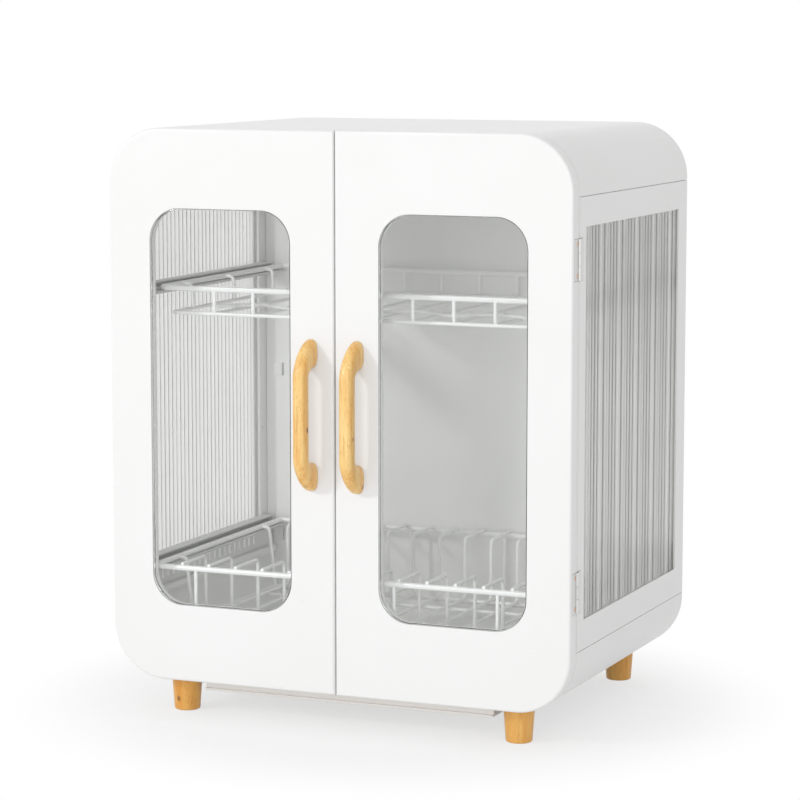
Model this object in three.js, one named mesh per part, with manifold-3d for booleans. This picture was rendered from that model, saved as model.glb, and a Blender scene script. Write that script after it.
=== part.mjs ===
// Table-top dish storage cabinet: a rounded white case on four turned wooden feet, with two
// windowed doors, ribbed clear side panels, two wire racks on rails and a drip tray underneath.
// Millimetres. X points right, Y points back, Z points up. The cabinet stands on Z = 0.

import * as THREE from 'three';
import { mergeVertices } from 'three/addons/utils/BufferGeometryUtils.js';
import Module from 'manifold-3d';

const wasm = await Module();
wasm.setup();

// Cabinet as a whole
const cabinetWidth = 420;
const cabinetDepth = 302;
const bodyHeight = 475;
const outerCornerRadius = 48;
const footHeight = 31;

// Fits shared by all pieces
const fitGap = 0.3;
const cutOverrun = 2;

// Case shells
const shellWall = 4;
const rimWall = 7;
const rimDepth = 12;
const splitHeight = 51;
const backPanelThickness = 3;
const backPanelSetback = 2.5;
const backClipWidth = 9;
const backClipHeight = 12;
const backClipRise = 1.5;
const backClipEndInset = 79;
const backClipMargin = 12;

// Side frames and their ribbed clear panels
const frontPostWidth = 16.5;
const rearPostWidth = 23.5;
const frameRailHeight = 25;
const frameLip = 2;
const panelOverlap = 4;
const panelThickness = 2.4;
const ribHeight = 1.6;
const ribPitch = 7.65;
const ribRearMargin = 8;
const postHoleSpacing = 112.5;
const postHoleRadius = 1.2;
const postHoleDepth = 3;
const postHoleMargin = 13.5;

// Floor pan
const panWall = 2.5;
const panHeight = 74.8;
const panLift = 12;
const panSideGap = 3.5;
const panEndHeight = 14;
const panFrontDepth = 20;
const panRearGap = 2.5;
const ventMargin = 38;
const ventPitch = 10.3;
const ventWidth = 3;
const ventHeight = 9;
const ventDrop = 3;
const drainRadius = 7;
const bossRadius = 8;

// Doors
const doorThickness = 15;
const doorStandOff = 0.6;
const doorSeam = 1;
const doorEdgeRadius = 2.5;
const doorSkin = 3;
const doorWall = 3.5;
const innerFrameThickness = 2.7;
const windowInset = 40;
const windowStile = 38.5;
const windowSill = 66.5;
const windowHeader = 67.5;
const windowCornerRadius = 28;
const windowPaneThickness = 3;
const windowFlangeThickness = 2.5;
const windowFlange = 5;
const windowWall = 3.7;
const paneLipWall = 3;

// Handles
const handleLength = 128;
const handleSpacing = 42;
const handleProjection = 27;
const gripThickness = 12.6;
const handleWidth = 12;
const handleFootLength = 24;
const handleShoulderLength = 30;
const handleEdgeRadius = 4.2;
const handleInnerRadius = 7;
const handleScrewSpacing = 96;
const handleScrewRadius = 1.8;
const handleScrewHeadRadius = 3.2;
const handleScrewHeadHeight = 1.7;
const handleScrewBite = 11;
const handleBossRadius = 5.5;

// Hinges
const hingeLength = 34;
const hingeEndInset = 101.25;
const doorLeafWidth = 12;
const bodyLeafWidth = 9;
const leafThickness = 1.6;
const barrelRadius = 1.9;
const pinRadius = 0.9;
const knuckleLength = 10;
const hingeScrewSpacing = 25.6;
const hingeScrewRadius = 0.9;
const hingeScrewHeadRadius = 1.9;
const hingeScrewHeadHeight = 0.8;
const hingeScrewLength = 9;
const hingeBlockDepth = 12;
const hingeBlockMargin = 4;

// Door catch
const catchWidth = 26;
const catchHeight = 11;
const catchDepth = 12;
const strikeWidth = 9;
const strikeThickness = 1;

// Rack rails
const railBlockWidth = 10.7;
const railHeight = 11;
const railLedgeReach = 25.2;
const railLedgeDrop = 5.8;
const railLedgeThickness = 2.2;
const railSeatWidth = 6.5;
const railGuideWidth = 2;
const railGuideHeight = 2.5;
const railFrontDepth = 29;
const railRearInset = 12;
const railTabLength = 6;
const railTabThickness = 2;
const upperRailDrop = 135.6;
const lowerRailRise = 98.6;

// Wire racks
const rimWireRadius = 2.5;
const wireRadius = 1.6;
const wireSides = 4;
const wireBend = 4;
const wireWeld = 0.8;
const rackEndPlay = 1;
const rackShoulder = 6;
const upperRackFront = 39;
const upperRackRearInset = 17;
const upperRackDrop = 21.3;
const upperWirePitch = 36.9;
const upperWireMargin = 25;
const upperSideStayCount = 3;
const upperTaper = 10.5;
const zigzagSwing = 30;
const zigzagMargin = 34;
const lowerRackFront = 20;
const lowerRackRearInset = 22;
const lowerRackDrop = 51.8;
const plateWirePitch = 25.4;
const plateWireMargin = 25;
const plateRunLength = 45;
const lowerStayPitch = 92.9;
const lowerStayCount = 4;
const lowerCrossWireCount = 2;

// Feet
const footTopRadius = 13.3;
const footBottomRadius = 11.2;
const footChamfer = 1.2;
const footSideInset = 55.4;
const footFrontDepth = 30;
const footRearInset = 14;
const footSides = 16;
const footScrewRadius = 1.9;
const footScrewHeadRadius = 4;
const footScrewHeadHeight = 2.4;
const footScrewBite = 18;

// Drip tray and its runners
const trayFootGap = 1.1;
const trayFrontDepth = 25;
const trayRearInset = 30;
const trayDrop = 11.6;
const trayWall = 2;
const trayFloor = 1.5;
const trayFlangeWidth = 4.5;
const trayLip = 2;
const runnerWall = 1.2;
const runnerSlot = 2.8;

// Counts that set how smooth the round forms are
const cornerSegments = 7;
const windowSegments = 5;
const handleSegments = 5;
const edgeSegments = 1;
const handleEdgeSegments = 2;
const ribSegments = 4;
const holeSides = 8;
const smallHoleSides = 6;

// Places that follow from the sizes above
const halfWidth = cabinetWidth / 2;
const handleReach = handleProjection + fitGap;
const backY = (cabinetDepth + handleReach) / 2;
const frontY = backY - cabinetDepth;
const bodyFrontY = frontY + doorThickness + doorStandOff;
const bodyBottom = footHeight;
const bodyTop = footHeight + bodyHeight;
const middleZ = (bodyBottom + bodyTop) / 2;
const frameInner = halfWidth - rimWall;
const lowerSplit = bodyBottom + splitHeight;
const upperSplit = bodyTop - splitHeight;
const hingeAxisY = frontY + doorThickness + doorStandOff / 2;
const shellBackY = frontY + doorThickness - innerFrameThickness - fitGap;
const innerFrameY = shellBackY + fitGap;
const doorBackY = frontY + doorThickness;
const bossTop = bodyBottom + panLift - fitGap;
const panCornerRadius = outerCornerRadius - panLift;
const footX = halfWidth - footSideInset;
const runnerOuterX = footX - footTopRadius - trayFootGap;
const trayHalfWidth = runnerOuterX - runnerWall - 2 * fitGap - trayFlangeWidth;
const runnerInnerX = trayHalfWidth + 2 * fitGap;

// Geometry helpers

const axisFrames = {
  x: new THREE.Matrix4().makeBasis(
    new THREE.Vector3(0, 1, 0), new THREE.Vector3(0, 0, 1), new THREE.Vector3(1, 0, 0)),
  y: new THREE.Matrix4().makeBasis(
    new THREE.Vector3(1, 0, 0), new THREE.Vector3(0, 0, 1), new THREE.Vector3(0, -1, 0)),
  z: new THREE.Matrix4(),
};

function solidOf(geometry) {
  const bare = geometry.clone();
  bare.deleteAttribute('normal');
  bare.deleteAttribute('uv');
  const merged = mergeVertices(bare);
  return new wasm.Manifold(new wasm.Mesh({
    numProp: 3,
    vertProperties: new Float32Array(merged.attributes.position.array),
    triVerts: new Uint32Array(merged.index.array),
  }));
}

function geometryOf(solid) {
  const mesh = solid.getMesh();
  const geometry = new THREE.BufferGeometry();
  const positions = new Float32Array(mesh.vertProperties);
  geometry.setAttribute('position', new THREE.BufferAttribute(positions, mesh.numProp));
  geometry.setIndex(new THREE.BufferAttribute(new Uint32Array(mesh.triVerts), 1));
  geometry.computeVertexNormals();
  return geometry;
}

function joined(solids) {
  return solids.reduce((sum, solid) => sum.add(solid));
}

function cut(solid, tools) {
  return tools.reduce((rest, tool) => rest.subtract(tool), solid);
}

// Evenly spaced places on both sides of zero.
function spread(count, pitch) {
  return Array.from({ length: count }, (_, i) => (i - (count - 1) / 2) * pitch);
}

function block(x0, x1, y0, y1, z0, z1) {
  const size = new THREE.BoxGeometry(Math.abs(x1 - x0), Math.abs(y1 - y0), Math.abs(z1 - z0));
  size.translate((x0 + x1) / 2, (y0 + y1) / 2, (z0 + z1) / 2);
  return solidOf(size);
}

// A flat outline pushed along one axis. Along x the outline is drawn in (y, z), along y in (x, z).
function prism(shape, axis, from, to, options = {}) {
  const bevel = options.bevelThickness ?? 0;
  const geometry = new THREE.ExtrudeGeometry(shape, {
    depth: to - from - 2 * bevel,
    curveSegments: cornerSegments,
    bevelEnabled: bevel > 0,
    ...options,
  });
  geometry.translate(0, 0, bevel);
  geometry.applyMatrix4(axisFrames[axis]);
  if (axis === 'x') geometry.translate(from, 0, 0);
  if (axis === 'y') geometry.translate(0, to, 0);
  if (axis === 'z') geometry.translate(0, 0, from);
  return solidOf(geometry);
}

function rod(axis, from, to, a, b, radius, sides = holeSides) {
  const geometry = new THREE.CylinderGeometry(radius, radius, to - from, sides);
  const middle = (from + to) / 2;
  if (axis === 'x') geometry.rotateZ(Math.PI / 2).translate(middle, a, b);
  if (axis === 'y') geometry.translate(a, middle, b);
  if (axis === 'z') geometry.rotateX(Math.PI / 2).translate(a, b, middle);
  return solidOf(geometry);
}

// A bent wire's centre line: straight stretches, with a short chamfer across each bend.
class WirePath extends THREE.Curve {
  constructor(corners) {
    super();
    const points = corners.map((corner) => new THREE.Vector3(...corner));
    this.stops = points.flatMap((point, i) => {
      if (i === 0 || i === points.length - 1) return [point];
      const neighbours = [points[i - 1], points[i + 1]];
      return neighbours.map((other) => other.clone().sub(point).setLength(wireBend).add(point));
    });
  }

  getPointAt(share) {
    return this.stops[Math.round(share * (this.stops.length - 1))].clone();
  }

  getTangentAt(share) {
    const i = Math.round(share * (this.stops.length - 1));
    const before = this.stops[Math.max(i - 1, 0)];
    const here = this.stops[i];
    const after = this.stops[Math.min(i + 1, this.stops.length - 1)];
    const arriving = here.clone().sub(before).normalize();
    const leaving = after.clone().sub(here).normalize();
    return arriving.add(leaving).normalize();
  }
}

function wire(corners, radius) {
  const path = new WirePath(corners);
  const section = new THREE.Shape(Array.from({ length: wireSides }, (_, i) => {
    const angle = 2 * Math.PI * i / wireSides;
    return new THREE.Vector2(radius * Math.cos(angle), radius * Math.sin(angle));
  }));
  return solidOf(new THREE.ExtrudeGeometry(section, { steps: path.stops.length - 1, extrudePath: path }));
}

// A rectangle of wire, bent from one piece on three sides and closed by a straight one.
function wireFrame(x, front, rear, z, radius) {
  return wire([[-x, rear, z], [-x, front, z], [x, front, z], [x, rear, z]], radius)
    .add(wire([[-x - radius, rear, z], [x + radius, rear, z]], radius));
}

// The same piece on the other side of the cabinet.
function mirrorX(geometry) {
  const twin = geometry.clone();
  twin.scale(-1, 1, 1);
  const index = twin.index.array;
  for (let i = 0; i < index.length; i += 3) {
    [index[i], index[i + 1]] = [index[i + 1], index[i]];
  }
  twin.computeVertexNormals();
  return twin;
}

function roundedOutline(x0, x1, z0, z1, radius) {
  const shape = new THREE.Shape();
  const quarter = Math.PI / 2;
  shape.moveTo(x0 + radius, z0);
  shape.lineTo(x1 - radius, z0);
  shape.absarc(x1 - radius, z0 + radius, radius, -quarter, 0);
  shape.lineTo(x1, z1 - radius);
  shape.absarc(x1 - radius, z1 - radius, radius, 0, quarter);
  shape.lineTo(x0 + radius, z1);
  shape.absarc(x0 + radius, z1 - radius, radius, quarter, 2 * quarter);
  shape.lineTo(x0, z0 + radius);
  shape.absarc(x0 + radius, z0 + radius, radius, 2 * quarter, 3 * quarter);
  return shape;
}

// The body's own outline, seen from the front, drawn in by an inset.
function bodyOutline(inset) {
  return roundedOutline(
    -halfWidth + inset, halfWidth - inset, bodyBottom + inset, bodyTop - inset, outerCornerRadius - inset);
}

// The window's outline in the right door, grown by a margin and pushed back from y0 to y1.
function windowPrism(margin, y0, y1) {
  const outline = roundedOutline(
    windowInset - margin, halfWidth - windowStile + margin,
    bodyBottom + windowSill - margin, bodyTop - windowHeader + margin,
    windowCornerRadius + margin);
  return prism(outline, 'y', y0, y1, { curveSegments: windowSegments });
}

// The right door's outline: square at the middle seam, rounded at the outer corners.
function doorOutline(inset) {
  const shape = new THREE.Shape();
  const quarter = Math.PI / 2;
  const right = halfWidth - inset;
  const low = bodyBottom + inset;
  const high = bodyTop - inset;
  const radius = outerCornerRadius - inset;
  shape.moveTo(doorSeam / 2 + inset, low);
  shape.lineTo(right - radius, low);
  shape.absarc(right - radius, low + radius, radius, -quarter, 0);
  shape.lineTo(right, high - radius);
  shape.absarc(right - radius, high - radius, radius, 0, quarter);
  shape.lineTo(doorSeam / 2 + inset, high);
  return shape;
}

function ring(outerInset, innerInset, y0, y1) {
  const outer = prism(bodyOutline(outerInset), 'y', y0, y1);
  const inner = prism(bodyOutline(innerInset), 'y', y0 - cutOverrun, y1 + cutOverrun);
  return outer.subtract(inner);
}

// Materials

function finish(color, roughness, metalness = 0) {
  return new THREE.MeshStandardMaterial({ color, roughness, metalness });
}

function clearFinish(color, roughness, opacity) {
  const material = finish(color, roughness);
  material.transparent = true;
  material.opacity = opacity;
  return material;
}

const materials = {
  whiteGloss: () => finish(0xf7f7f7, 0.3),
  whiteSatin: () => finish(0xe9e9e8, 0.5),
  clearRibbed: () => clearFinish(0xe8eae9, 0.12, 0.4),
  clearPane: () => clearFinish(0xf2f4f4, 0.05, 0.3),
  coatedWire: () => finish(0xfafafa, 0.35),
  railGrey: () => finish(0xb9b9b7, 0.45),
  darkPlastic: () => finish(0x6f6f6e, 0.6),
  trayPlastic: () => finish(0xd9d2cb, 0.5),
  beech: () => finish(0xe0a75c, 0.55),
  steel: () => finish(0xc9cacc, 0.3, 1),
  copper: () => finish(0xc98150, 0.35, 1),
  magnet: () => finish(0x8a8b8d, 0.4, 1),
};

// Case

function bodyFootPlaces() {
  const frontFootY = frontY + footFrontDepth;
  const rearFootY = backY - footRearInset;
  return {
    front_left: [-footX, frontFootY],
    front_right: [footX, frontFootY],
    rear_left: [-footX, rearFootY],
    rear_right: [footX, rearFootY],
  };
}

function caseRing() {
  return joined([
    ring(0, shellWall, bodyFrontY, backY),
    ring(0, rimWall, bodyFrontY, bodyFrontY + rimDepth),
    ring(0, rimWall, backY - rimDepth, backY),
  ]);
}

function topCover() {
  const above = block(
    -halfWidth - cutOverrun, halfWidth + cutOverrun, bodyFrontY - cutOverrun, backY + cutOverrun,
    upperSplit + fitGap, bodyTop + cutOverrun);
  return geometryOf(caseRing().intersect(above));
}

function baseShell() {
  const below = block(
    -halfWidth - cutOverrun, halfWidth + cutOverrun, bodyFrontY - cutOverrun, backY + cutOverrun,
    bodyBottom - cutOverrun, lowerSplit - fitGap);
  const places = Object.values(bodyFootPlaces());
  const floorTop = bodyBottom + shellWall;
  const bosses = places.map(([x, y]) => rod('z', floorTop - fitGap, bossTop, x, y, bossRadius));
  const holes = places.map(([x, y]) => rod(
    'z', bodyBottom - cutOverrun, bossTop + cutOverrun, x, y, footScrewRadius + fitGap));
  const counterbores = places.map(([x, y]) => rod(
    'z', bossTop - footScrewHeadHeight - 2 * fitGap, bossTop + cutOverrun, x, y,
    footScrewHeadRadius + fitGap));
  const drain = rod(
    'z', bodyBottom - cutOverrun, floorTop + cutOverrun, 0, drainY(), drainRadius + fitGap);
  const solid = joined([caseRing().intersect(below), ...bosses]);
  return geometryOf(cut(solid, [...holes, ...counterbores, drain]));
}

function drainY() {
  return (bodyFrontY + backY) / 2;
}

function panRearY() {
  return backY - backPanelSetback - backPanelThickness - panRearGap;
}

function floorPan() {
  const side = frameInner - panSideGap;
  const low = bodyBottom + panLift;
  const high = low + panHeight;
  const front = frontY + panFrontDepth;
  const rear = panRearY();
  const roughTop = high + 2 * panCornerRadius;
  const profile = (inset) => roundedOutline(
    -side + inset, side - inset, low + inset, roughTop, panCornerRadius - inset);
  const outer = prism(profile(0), 'y', front, rear);
  const hollow = prism(profile(panWall), 'y', front + panWall, rear - panWall);
  const aboveAll = block(
    -side - cutOverrun, side + cutOverrun, front - cutOverrun, rear + cutOverrun,
    high, roughTop + cutOverrun);
  const endWalls = [[front - cutOverrun, front + panWall + cutOverrun],
    [rear - panWall - cutOverrun, rear + cutOverrun]];
  const aboveEnds = endWalls.map(([y0, y1]) => prism(profile(panWall), 'y', y0, y1).intersect(block(
    -side, side, y0, y1, low + panEndHeight, high + cutOverrun)));
  const ventTop = high - ventDrop;
  const ventCount = 1 + Math.floor((rear - front - 2 * ventMargin) / ventPitch);
  const vents = spread(ventCount, ventPitch).map((offset) => {
    const y = (front + rear) / 2 + offset;
    return block(
      -side - cutOverrun, side + cutOverrun, y - ventWidth / 2, y + ventWidth / 2,
      ventTop - ventHeight, ventTop);
  });
  const drain = rod('z', low - cutOverrun, low + panWall + cutOverrun, 0, drainY(), drainRadius);
  return geometryOf(cut(outer, [hollow, aboveAll, ...aboveEnds, ...vents, drain]));
}

function backPanel() {
  const y1 = backY - backPanelSetback;
  const y0 = y1 - backPanelThickness;
  const plate = prism(bodyOutline(rimWall + fitGap), 'y', y0, y1);
  const clipSpacing = bodyHeight / 2 - backClipEndInset;
  const clips = [-1, 1].flatMap((side) => [-1, 0, 1].map((row) => {
    const outerX = side * (frameInner - backClipMargin + backClipWidth / 2);
    const innerX = outerX - side * backClipWidth;
    const z = middleZ + row * clipSpacing;
    return block(
      outerX, innerX, y0 - backClipRise, y1 - fitGap, z - backClipHeight / 2, z + backClipHeight / 2);
  }));
  return geometryOf(joined([plate, ...clips]));
}

// The opening in a side frame, as [y0, y1, z0, z1].
function sideOpening() {
  return [
    bodyFrontY + frontPostWidth, backY - rearPostWidth,
    lowerSplit + frameRailHeight, upperSplit - frameRailHeight + fitGap,
  ];
}

function sideFrame() {
  const [y0, y1, z0, z1] = sideOpening();
  const plate = block(
    frameInner, halfWidth, bodyFrontY, backY, lowerSplit, upperSplit);
  const opening = block(
    frameInner - cutOverrun, halfWidth + cutOverrun, y0, y1, z0, z1);
  const rabbet = block(
    frameInner - cutOverrun, halfWidth - frameLip,
    y0 - panelOverlap, y1 + panelOverlap, z0 - panelOverlap, z1 + panelOverlap);
  const postHoles = [-1, 1].map((side) => rod(
    'x', frameInner - cutOverrun, frameInner + postHoleDepth,
    backY - postHoleMargin, middleZ + side * postHoleSpacing / 2, postHoleRadius));
  const hingeCuts = hingeCentres().flatMap((z) => hingeSeat(z, hingeAxisY + bodyLeafWidth + fitGap));
  return geometryOf(cut(plate, [opening, rabbet, ...postHoles, ...hingeCuts]));
}

function ribbedPanel() {
  const [y0, y1, z0, z1] = sideOpening();
  const outerFace = halfWidth - frameLip - fitGap;
  const edge = panelOverlap - fitGap;
  const flange = block(
    outerFace - panelThickness, outerFace, y0 - edge, y1 + edge, z0 - edge, z1 + edge);
  const shape = new THREE.Shape();
  const start = y0 + fitGap;
  const ribBase = outerFace - panelThickness / 2;
  const ribCount = Math.floor((y1 - start - ribRearMargin) / ribPitch);
  shape.moveTo(ribBase, start);
  shape.lineTo(outerFace, start);
  for (let i = 0; i < ribCount; i += 1) {
    for (let step = 1; step <= ribSegments; step += 1) {
      const share = step / ribSegments;
      shape.lineTo(outerFace + ribHeight * Math.sin(Math.PI * share), start + (i + share) * ribPitch);
    }
  }
  shape.lineTo(ribBase, start + ribCount * ribPitch);
  const ribs = prism(shape, 'z', z0 + fitGap, z1 - fitGap);
  return geometryOf(flange.add(ribs));
}

function hingeCentres() {
  return [bodyBottom + hingeEndInset, bodyTop - hingeEndInset];
}

// What a hinge leaf that runs from the pin to leafEndY, and its barrel, take out of its carrier.
function hingeSeat(z, leafEndY) {
  const half = hingeLength / 2 + fitGap;
  const leafSeat = block(
    halfWidth - leafThickness - fitGap, halfWidth + cutOverrun, hingeAxisY, leafEndY, z - half, z + half);
  const barrelSeat = rod('z', z - half, z + half, halfWidth, hingeAxisY, barrelRadius + 2 * fitGap);
  return [leafSeat, barrelSeat];
}

function doorHingeSeats() {
  return hingeCentres().flatMap((z) => hingeSeat(z, hingeAxisY - doorLeafWidth - fitGap));
}

function handleScrewHeights() {
  return [middleZ - handleScrewSpacing / 2, middleZ + handleScrewSpacing / 2];
}

function hingeScrewHeights() {
  return hingeCentres().flatMap((z) => [z - hingeScrewSpacing / 2, z + hingeScrewSpacing / 2]);
}

function hingeScrewY() {
  return hingeAxisY - barrelRadius - fitGap - hingeScrewHeadRadius - 2 * fitGap;
}

// Doors, right-hand side

function doorShell() {
  const x = handleSpacing / 2;
  const rough = prism(doorOutline(0), 'y', frontY, shellBackY + 2 * doorEdgeRadius, {
    bevelThickness: doorEdgeRadius,
    bevelSize: doorEdgeRadius,
    bevelOffset: -doorEdgeRadius,
    bevelSegments: edgeSegments,
  });
  const behind = block(
    -cutOverrun, halfWidth + cutOverrun, shellBackY, doorBackY + 2 * doorEdgeRadius,
    bodyBottom - cutOverrun, bodyTop + cutOverrun);
  const openRear = shellBackY + cutOverrun;
  const surround = windowPrism(windowFlange + fitGap + windowWall, frontY, openRear);
  const hingeBlocks = hingeCentres().map((z) => block(
    halfWidth - hingeBlockDepth, halfWidth, frontY, openRear,
    z - hingeLength / 2 - hingeBlockMargin, z + hingeLength / 2 + hingeBlockMargin));
  const bosses = handleScrewHeights().map((z) => rod('y', frontY, openRear, x, z, handleBossRadius));
  const pocket = cut(
    prism(doorOutline(doorWall), 'y', frontY + doorSkin, openRear), [surround, ...hingeBlocks, ...bosses]);
  const windowHole = windowPrism(0, frontY - cutOverrun, openRear);
  const flangeSeat = windowPrism(windowFlange + fitGap, frontY + doorSkin, openRear);
  const screwHoles = handleScrewHeights().map((z) => rod(
    'y', frontY - cutOverrun, openRear, x, z, handleScrewRadius + fitGap));
  const hingeCuts = doorHingeSeats();
  const hingeHoles = hingeScrewHeights().map((z) => rod(
    'x', halfWidth - hingeScrewLength - fitGap, halfWidth, hingeScrewY(), z,
    hingeScrewRadius + fitGap, smallHoleSides));
  return geometryOf(cut(rough, [
    behind, pocket, windowHole, flangeSeat, ...screwHoles, ...hingeCuts, ...hingeHoles]));
}

// Where a door's strike plate lies, as [x0, x1, z0, z1].
function strikePlace() {
  const x0 = doorSeam / 2 + doorWall / 2;
  const z1 = bodyTop - rimWall - fitGap;
  return [x0, x0 + strikeWidth, z1 - catchHeight, z1];
}

function doorInnerFrame() {
  const x = handleSpacing / 2;
  const [x0, x1, z0, z1] = strikePlace();
  const plate = prism(doorOutline(0), 'y', innerFrameY, doorBackY);
  const lipFront = frontY + doorSkin + 2 * fitGap + windowFlangeThickness;
  const lip = windowPrism(paneLipWall, lipFront, innerFrameY + fitGap);
  const windowHole = windowPrism(0, frontY, doorBackY + cutOverrun);
  const screwHoles = handleScrewHeights().map((z) => rod(
    'y', frontY, doorBackY + cutOverrun, x, z, handleScrewRadius + fitGap));
  const counterbores = handleScrewHeights().map((z) => rod(
    'y', doorBackY - handleScrewHeadHeight - fitGap, doorBackY + cutOverrun, x, z,
    handleScrewHeadRadius + fitGap));
  const strikeSeat = block(
    x0 - fitGap, x1 + fitGap, doorBackY - strikeThickness - fitGap, doorBackY + cutOverrun,
    z0 - fitGap, z1 + fitGap);
  const hingeCuts = doorHingeSeats();
  return geometryOf(cut(plate.add(lip), [
    windowHole, ...screwHoles, ...counterbores, strikeSeat, ...hingeCuts]));
}

function doorWindow() {
  const flangeY = frontY + doorSkin + fitGap;
  const pane = windowPrism(-fitGap, flangeY - windowPaneThickness, flangeY + windowFlangeThickness);
  const flange = windowPrism(windowFlange, flangeY, flangeY + windowFlangeThickness);
  return geometryOf(pane.add(flange));
}

function strikePlate() {
  const [x0, x1, z0, z1] = strikePlace();
  return geometryOf(block(x0, x1, doorBackY - strikeThickness, doorBackY, z0, z1));
}

function doorCatch() {
  const z1 = bodyTop - rimWall - fitGap;
  return geometryOf(block(
    -catchWidth / 2, catchWidth / 2, bodyFrontY + fitGap, bodyFrontY + fitGap + catchDepth,
    z1 - catchHeight, z1));
}

function handle() {
  const half = handleLength / 2;
  const mount = frontY - fitGap;
  const out = mount - handleProjection;
  const inner = out + gripThickness;
  const shoulder = half - handleShoulderLength;
  const gap = half - handleFootLength;
  const back = mount + 2 * handleEdgeRadius;
  const shape = new THREE.Shape();
  shape.moveTo(back, middleZ + half);
  shape.lineTo(mount, middleZ + half);
  shape.bezierCurveTo(
    mount - handleProjection / 2, middleZ + half, out, middleZ + half - handleFootLength / 2,
    out, middleZ + shoulder);
  shape.lineTo(out, middleZ - shoulder);
  shape.bezierCurveTo(
    out, middleZ - half + handleFootLength / 2, mount - handleProjection / 2, middleZ - half,
    mount, middleZ - half);
  shape.lineTo(back, middleZ - half);
  shape.lineTo(back, middleZ - gap);
  shape.lineTo(inner + handleInnerRadius, middleZ - gap);
  shape.quadraticCurveTo(inner, middleZ - gap, inner, middleZ - gap + handleInnerRadius);
  shape.lineTo(inner, middleZ + gap - handleInnerRadius);
  shape.quadraticCurveTo(inner, middleZ + gap, inner + handleInnerRadius, middleZ + gap);
  shape.lineTo(back, middleZ + gap);
  const rough = prism(shape, 'x', -handleWidth / 2, handleWidth / 2, {
    curveSegments: handleSegments,
    bevelThickness: handleEdgeRadius,
    bevelSize: handleEdgeRadius,
    bevelOffset: -handleEdgeRadius,
    bevelSegments: handleEdgeSegments,
  });
  const doorSpace = block(
    -handleWidth, handleWidth, mount, back + cutOverrun, middleZ - handleLength, middleZ + handleLength);
  const holes = handleScrewHeights().map((z) => rod(
    'y', mount - handleScrewBite - fitGap, mount + cutOverrun, 0, z, handleScrewRadius + fitGap));
  return geometryOf(cut(rough, [doorSpace, ...holes]));
}

// Screws point down their own -Z, with the top of the head at the origin.
function screw(headRadius, headHeight, shaftRadius, length) {
  const head = rod('z', -headHeight, 0, 0, 0, headRadius);
  const shaft = rod('z', -length, -headHeight / 2, 0, 0, shaftRadius, smallHoleSides);
  return geometryOf(head.add(shaft));
}

// Hinges, right-hand side, centred on a height

function doorLeaf() {
  const half = hingeLength / 2;
  const plate = block(
    halfWidth - leafThickness, halfWidth, hingeAxisY - doorLeafWidth, hingeAxisY - fitGap, -half, half);
  const middle = block(
    halfWidth - leafThickness - cutOverrun, halfWidth + cutOverrun,
    hingeAxisY - barrelRadius - fitGap, hingeAxisY + cutOverrun,
    -knuckleLength / 2 - fitGap, knuckleLength / 2 + fitGap);
  const barrel = rod('z', -half, half, halfWidth, hingeAxisY, barrelRadius);
  const bore = rod('z', -half - cutOverrun, half + cutOverrun, halfWidth, hingeAxisY, pinRadius + fitGap);
  const gapCut = block(
    halfWidth - barrelRadius - cutOverrun, halfWidth + barrelRadius + cutOverrun,
    hingeAxisY - barrelRadius - fitGap, hingeAxisY + barrelRadius + cutOverrun,
    -knuckleLength / 2 - fitGap, knuckleLength / 2 + fitGap);
  const screwCuts = [-1, 1].flatMap((side) => {
    const z = side * hingeScrewSpacing / 2;
    return [
      rod('x', halfWidth - leafThickness - cutOverrun, halfWidth + cutOverrun,
        hingeScrewY(), z, hingeScrewRadius + fitGap, smallHoleSides),
      rod('x', halfWidth - hingeScrewHeadHeight - fitGap, halfWidth + cutOverrun,
        hingeScrewY(), z, hingeScrewHeadRadius + fitGap),
    ];
  });
  return geometryOf(cut(joined([plate, barrel]), [middle, gapCut, bore, ...screwCuts]));
}

function bodyLeaf() {
  const half = hingeLength / 2;
  const plate = block(
    halfWidth - leafThickness, halfWidth,
    hingeAxisY + barrelRadius + 2 * fitGap, hingeAxisY + bodyLeafWidth, -half, half);
  const tab = block(
    halfWidth - leafThickness, halfWidth, hingeAxisY, hingeAxisY + bodyLeafWidth,
    -knuckleLength / 2, knuckleLength / 2);
  const knuckle = rod('z', -knuckleLength / 2, knuckleLength / 2, halfWidth, hingeAxisY, barrelRadius);
  const bore = rod(
    'z', -half - cutOverrun, half + cutOverrun, halfWidth, hingeAxisY, pinRadius + fitGap);
  return geometryOf(cut(joined([plate, tab, knuckle]), [bore]));
}

function hingePin() {
  const half = hingeLength / 2;
  return geometryOf(rod('z', -half, half, halfWidth, hingeAxisY, pinRadius));
}

// Rails and racks

function railInnerX() {
  return frameInner - fitGap - railLedgeReach;
}

// A bar along the side frame, with a ledge that the rack's side wire rests on and a low guide
// that keeps the wire in line.
function rail() {
  const inner = railInnerX();
  const outer = inner + railLedgeReach;
  const y0 = frontY + railFrontDepth;
  const y1 = backY - railRearInset;
  const bar = block(outer - railBlockWidth, outer, y0, y1, -railHeight, 0);
  const ledge = block(
    inner, outer - railTabThickness, y0, y1, -railLedgeDrop - railLedgeThickness, -railLedgeDrop);
  const guide = block(
    inner + railSeatWidth, inner + railSeatWidth + railGuideWidth, y0, y1,
    -railLedgeDrop - railLedgeThickness, railGuideHeight - railLedgeDrop);
  const tabs = [[y0 - railTabLength, y0 + railTabThickness], [y1 - railTabThickness, y1 + railTabLength]]
    .map(([from, to]) => block(outer - railTabThickness, outer, from, to, -railHeight, 0));
  return geometryOf(joined([bar, ledge, guide, ...tabs]));
}

function rackSideX() {
  return railInnerX() + railSeatWidth - rackEndPlay - rimWireRadius;
}

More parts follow.
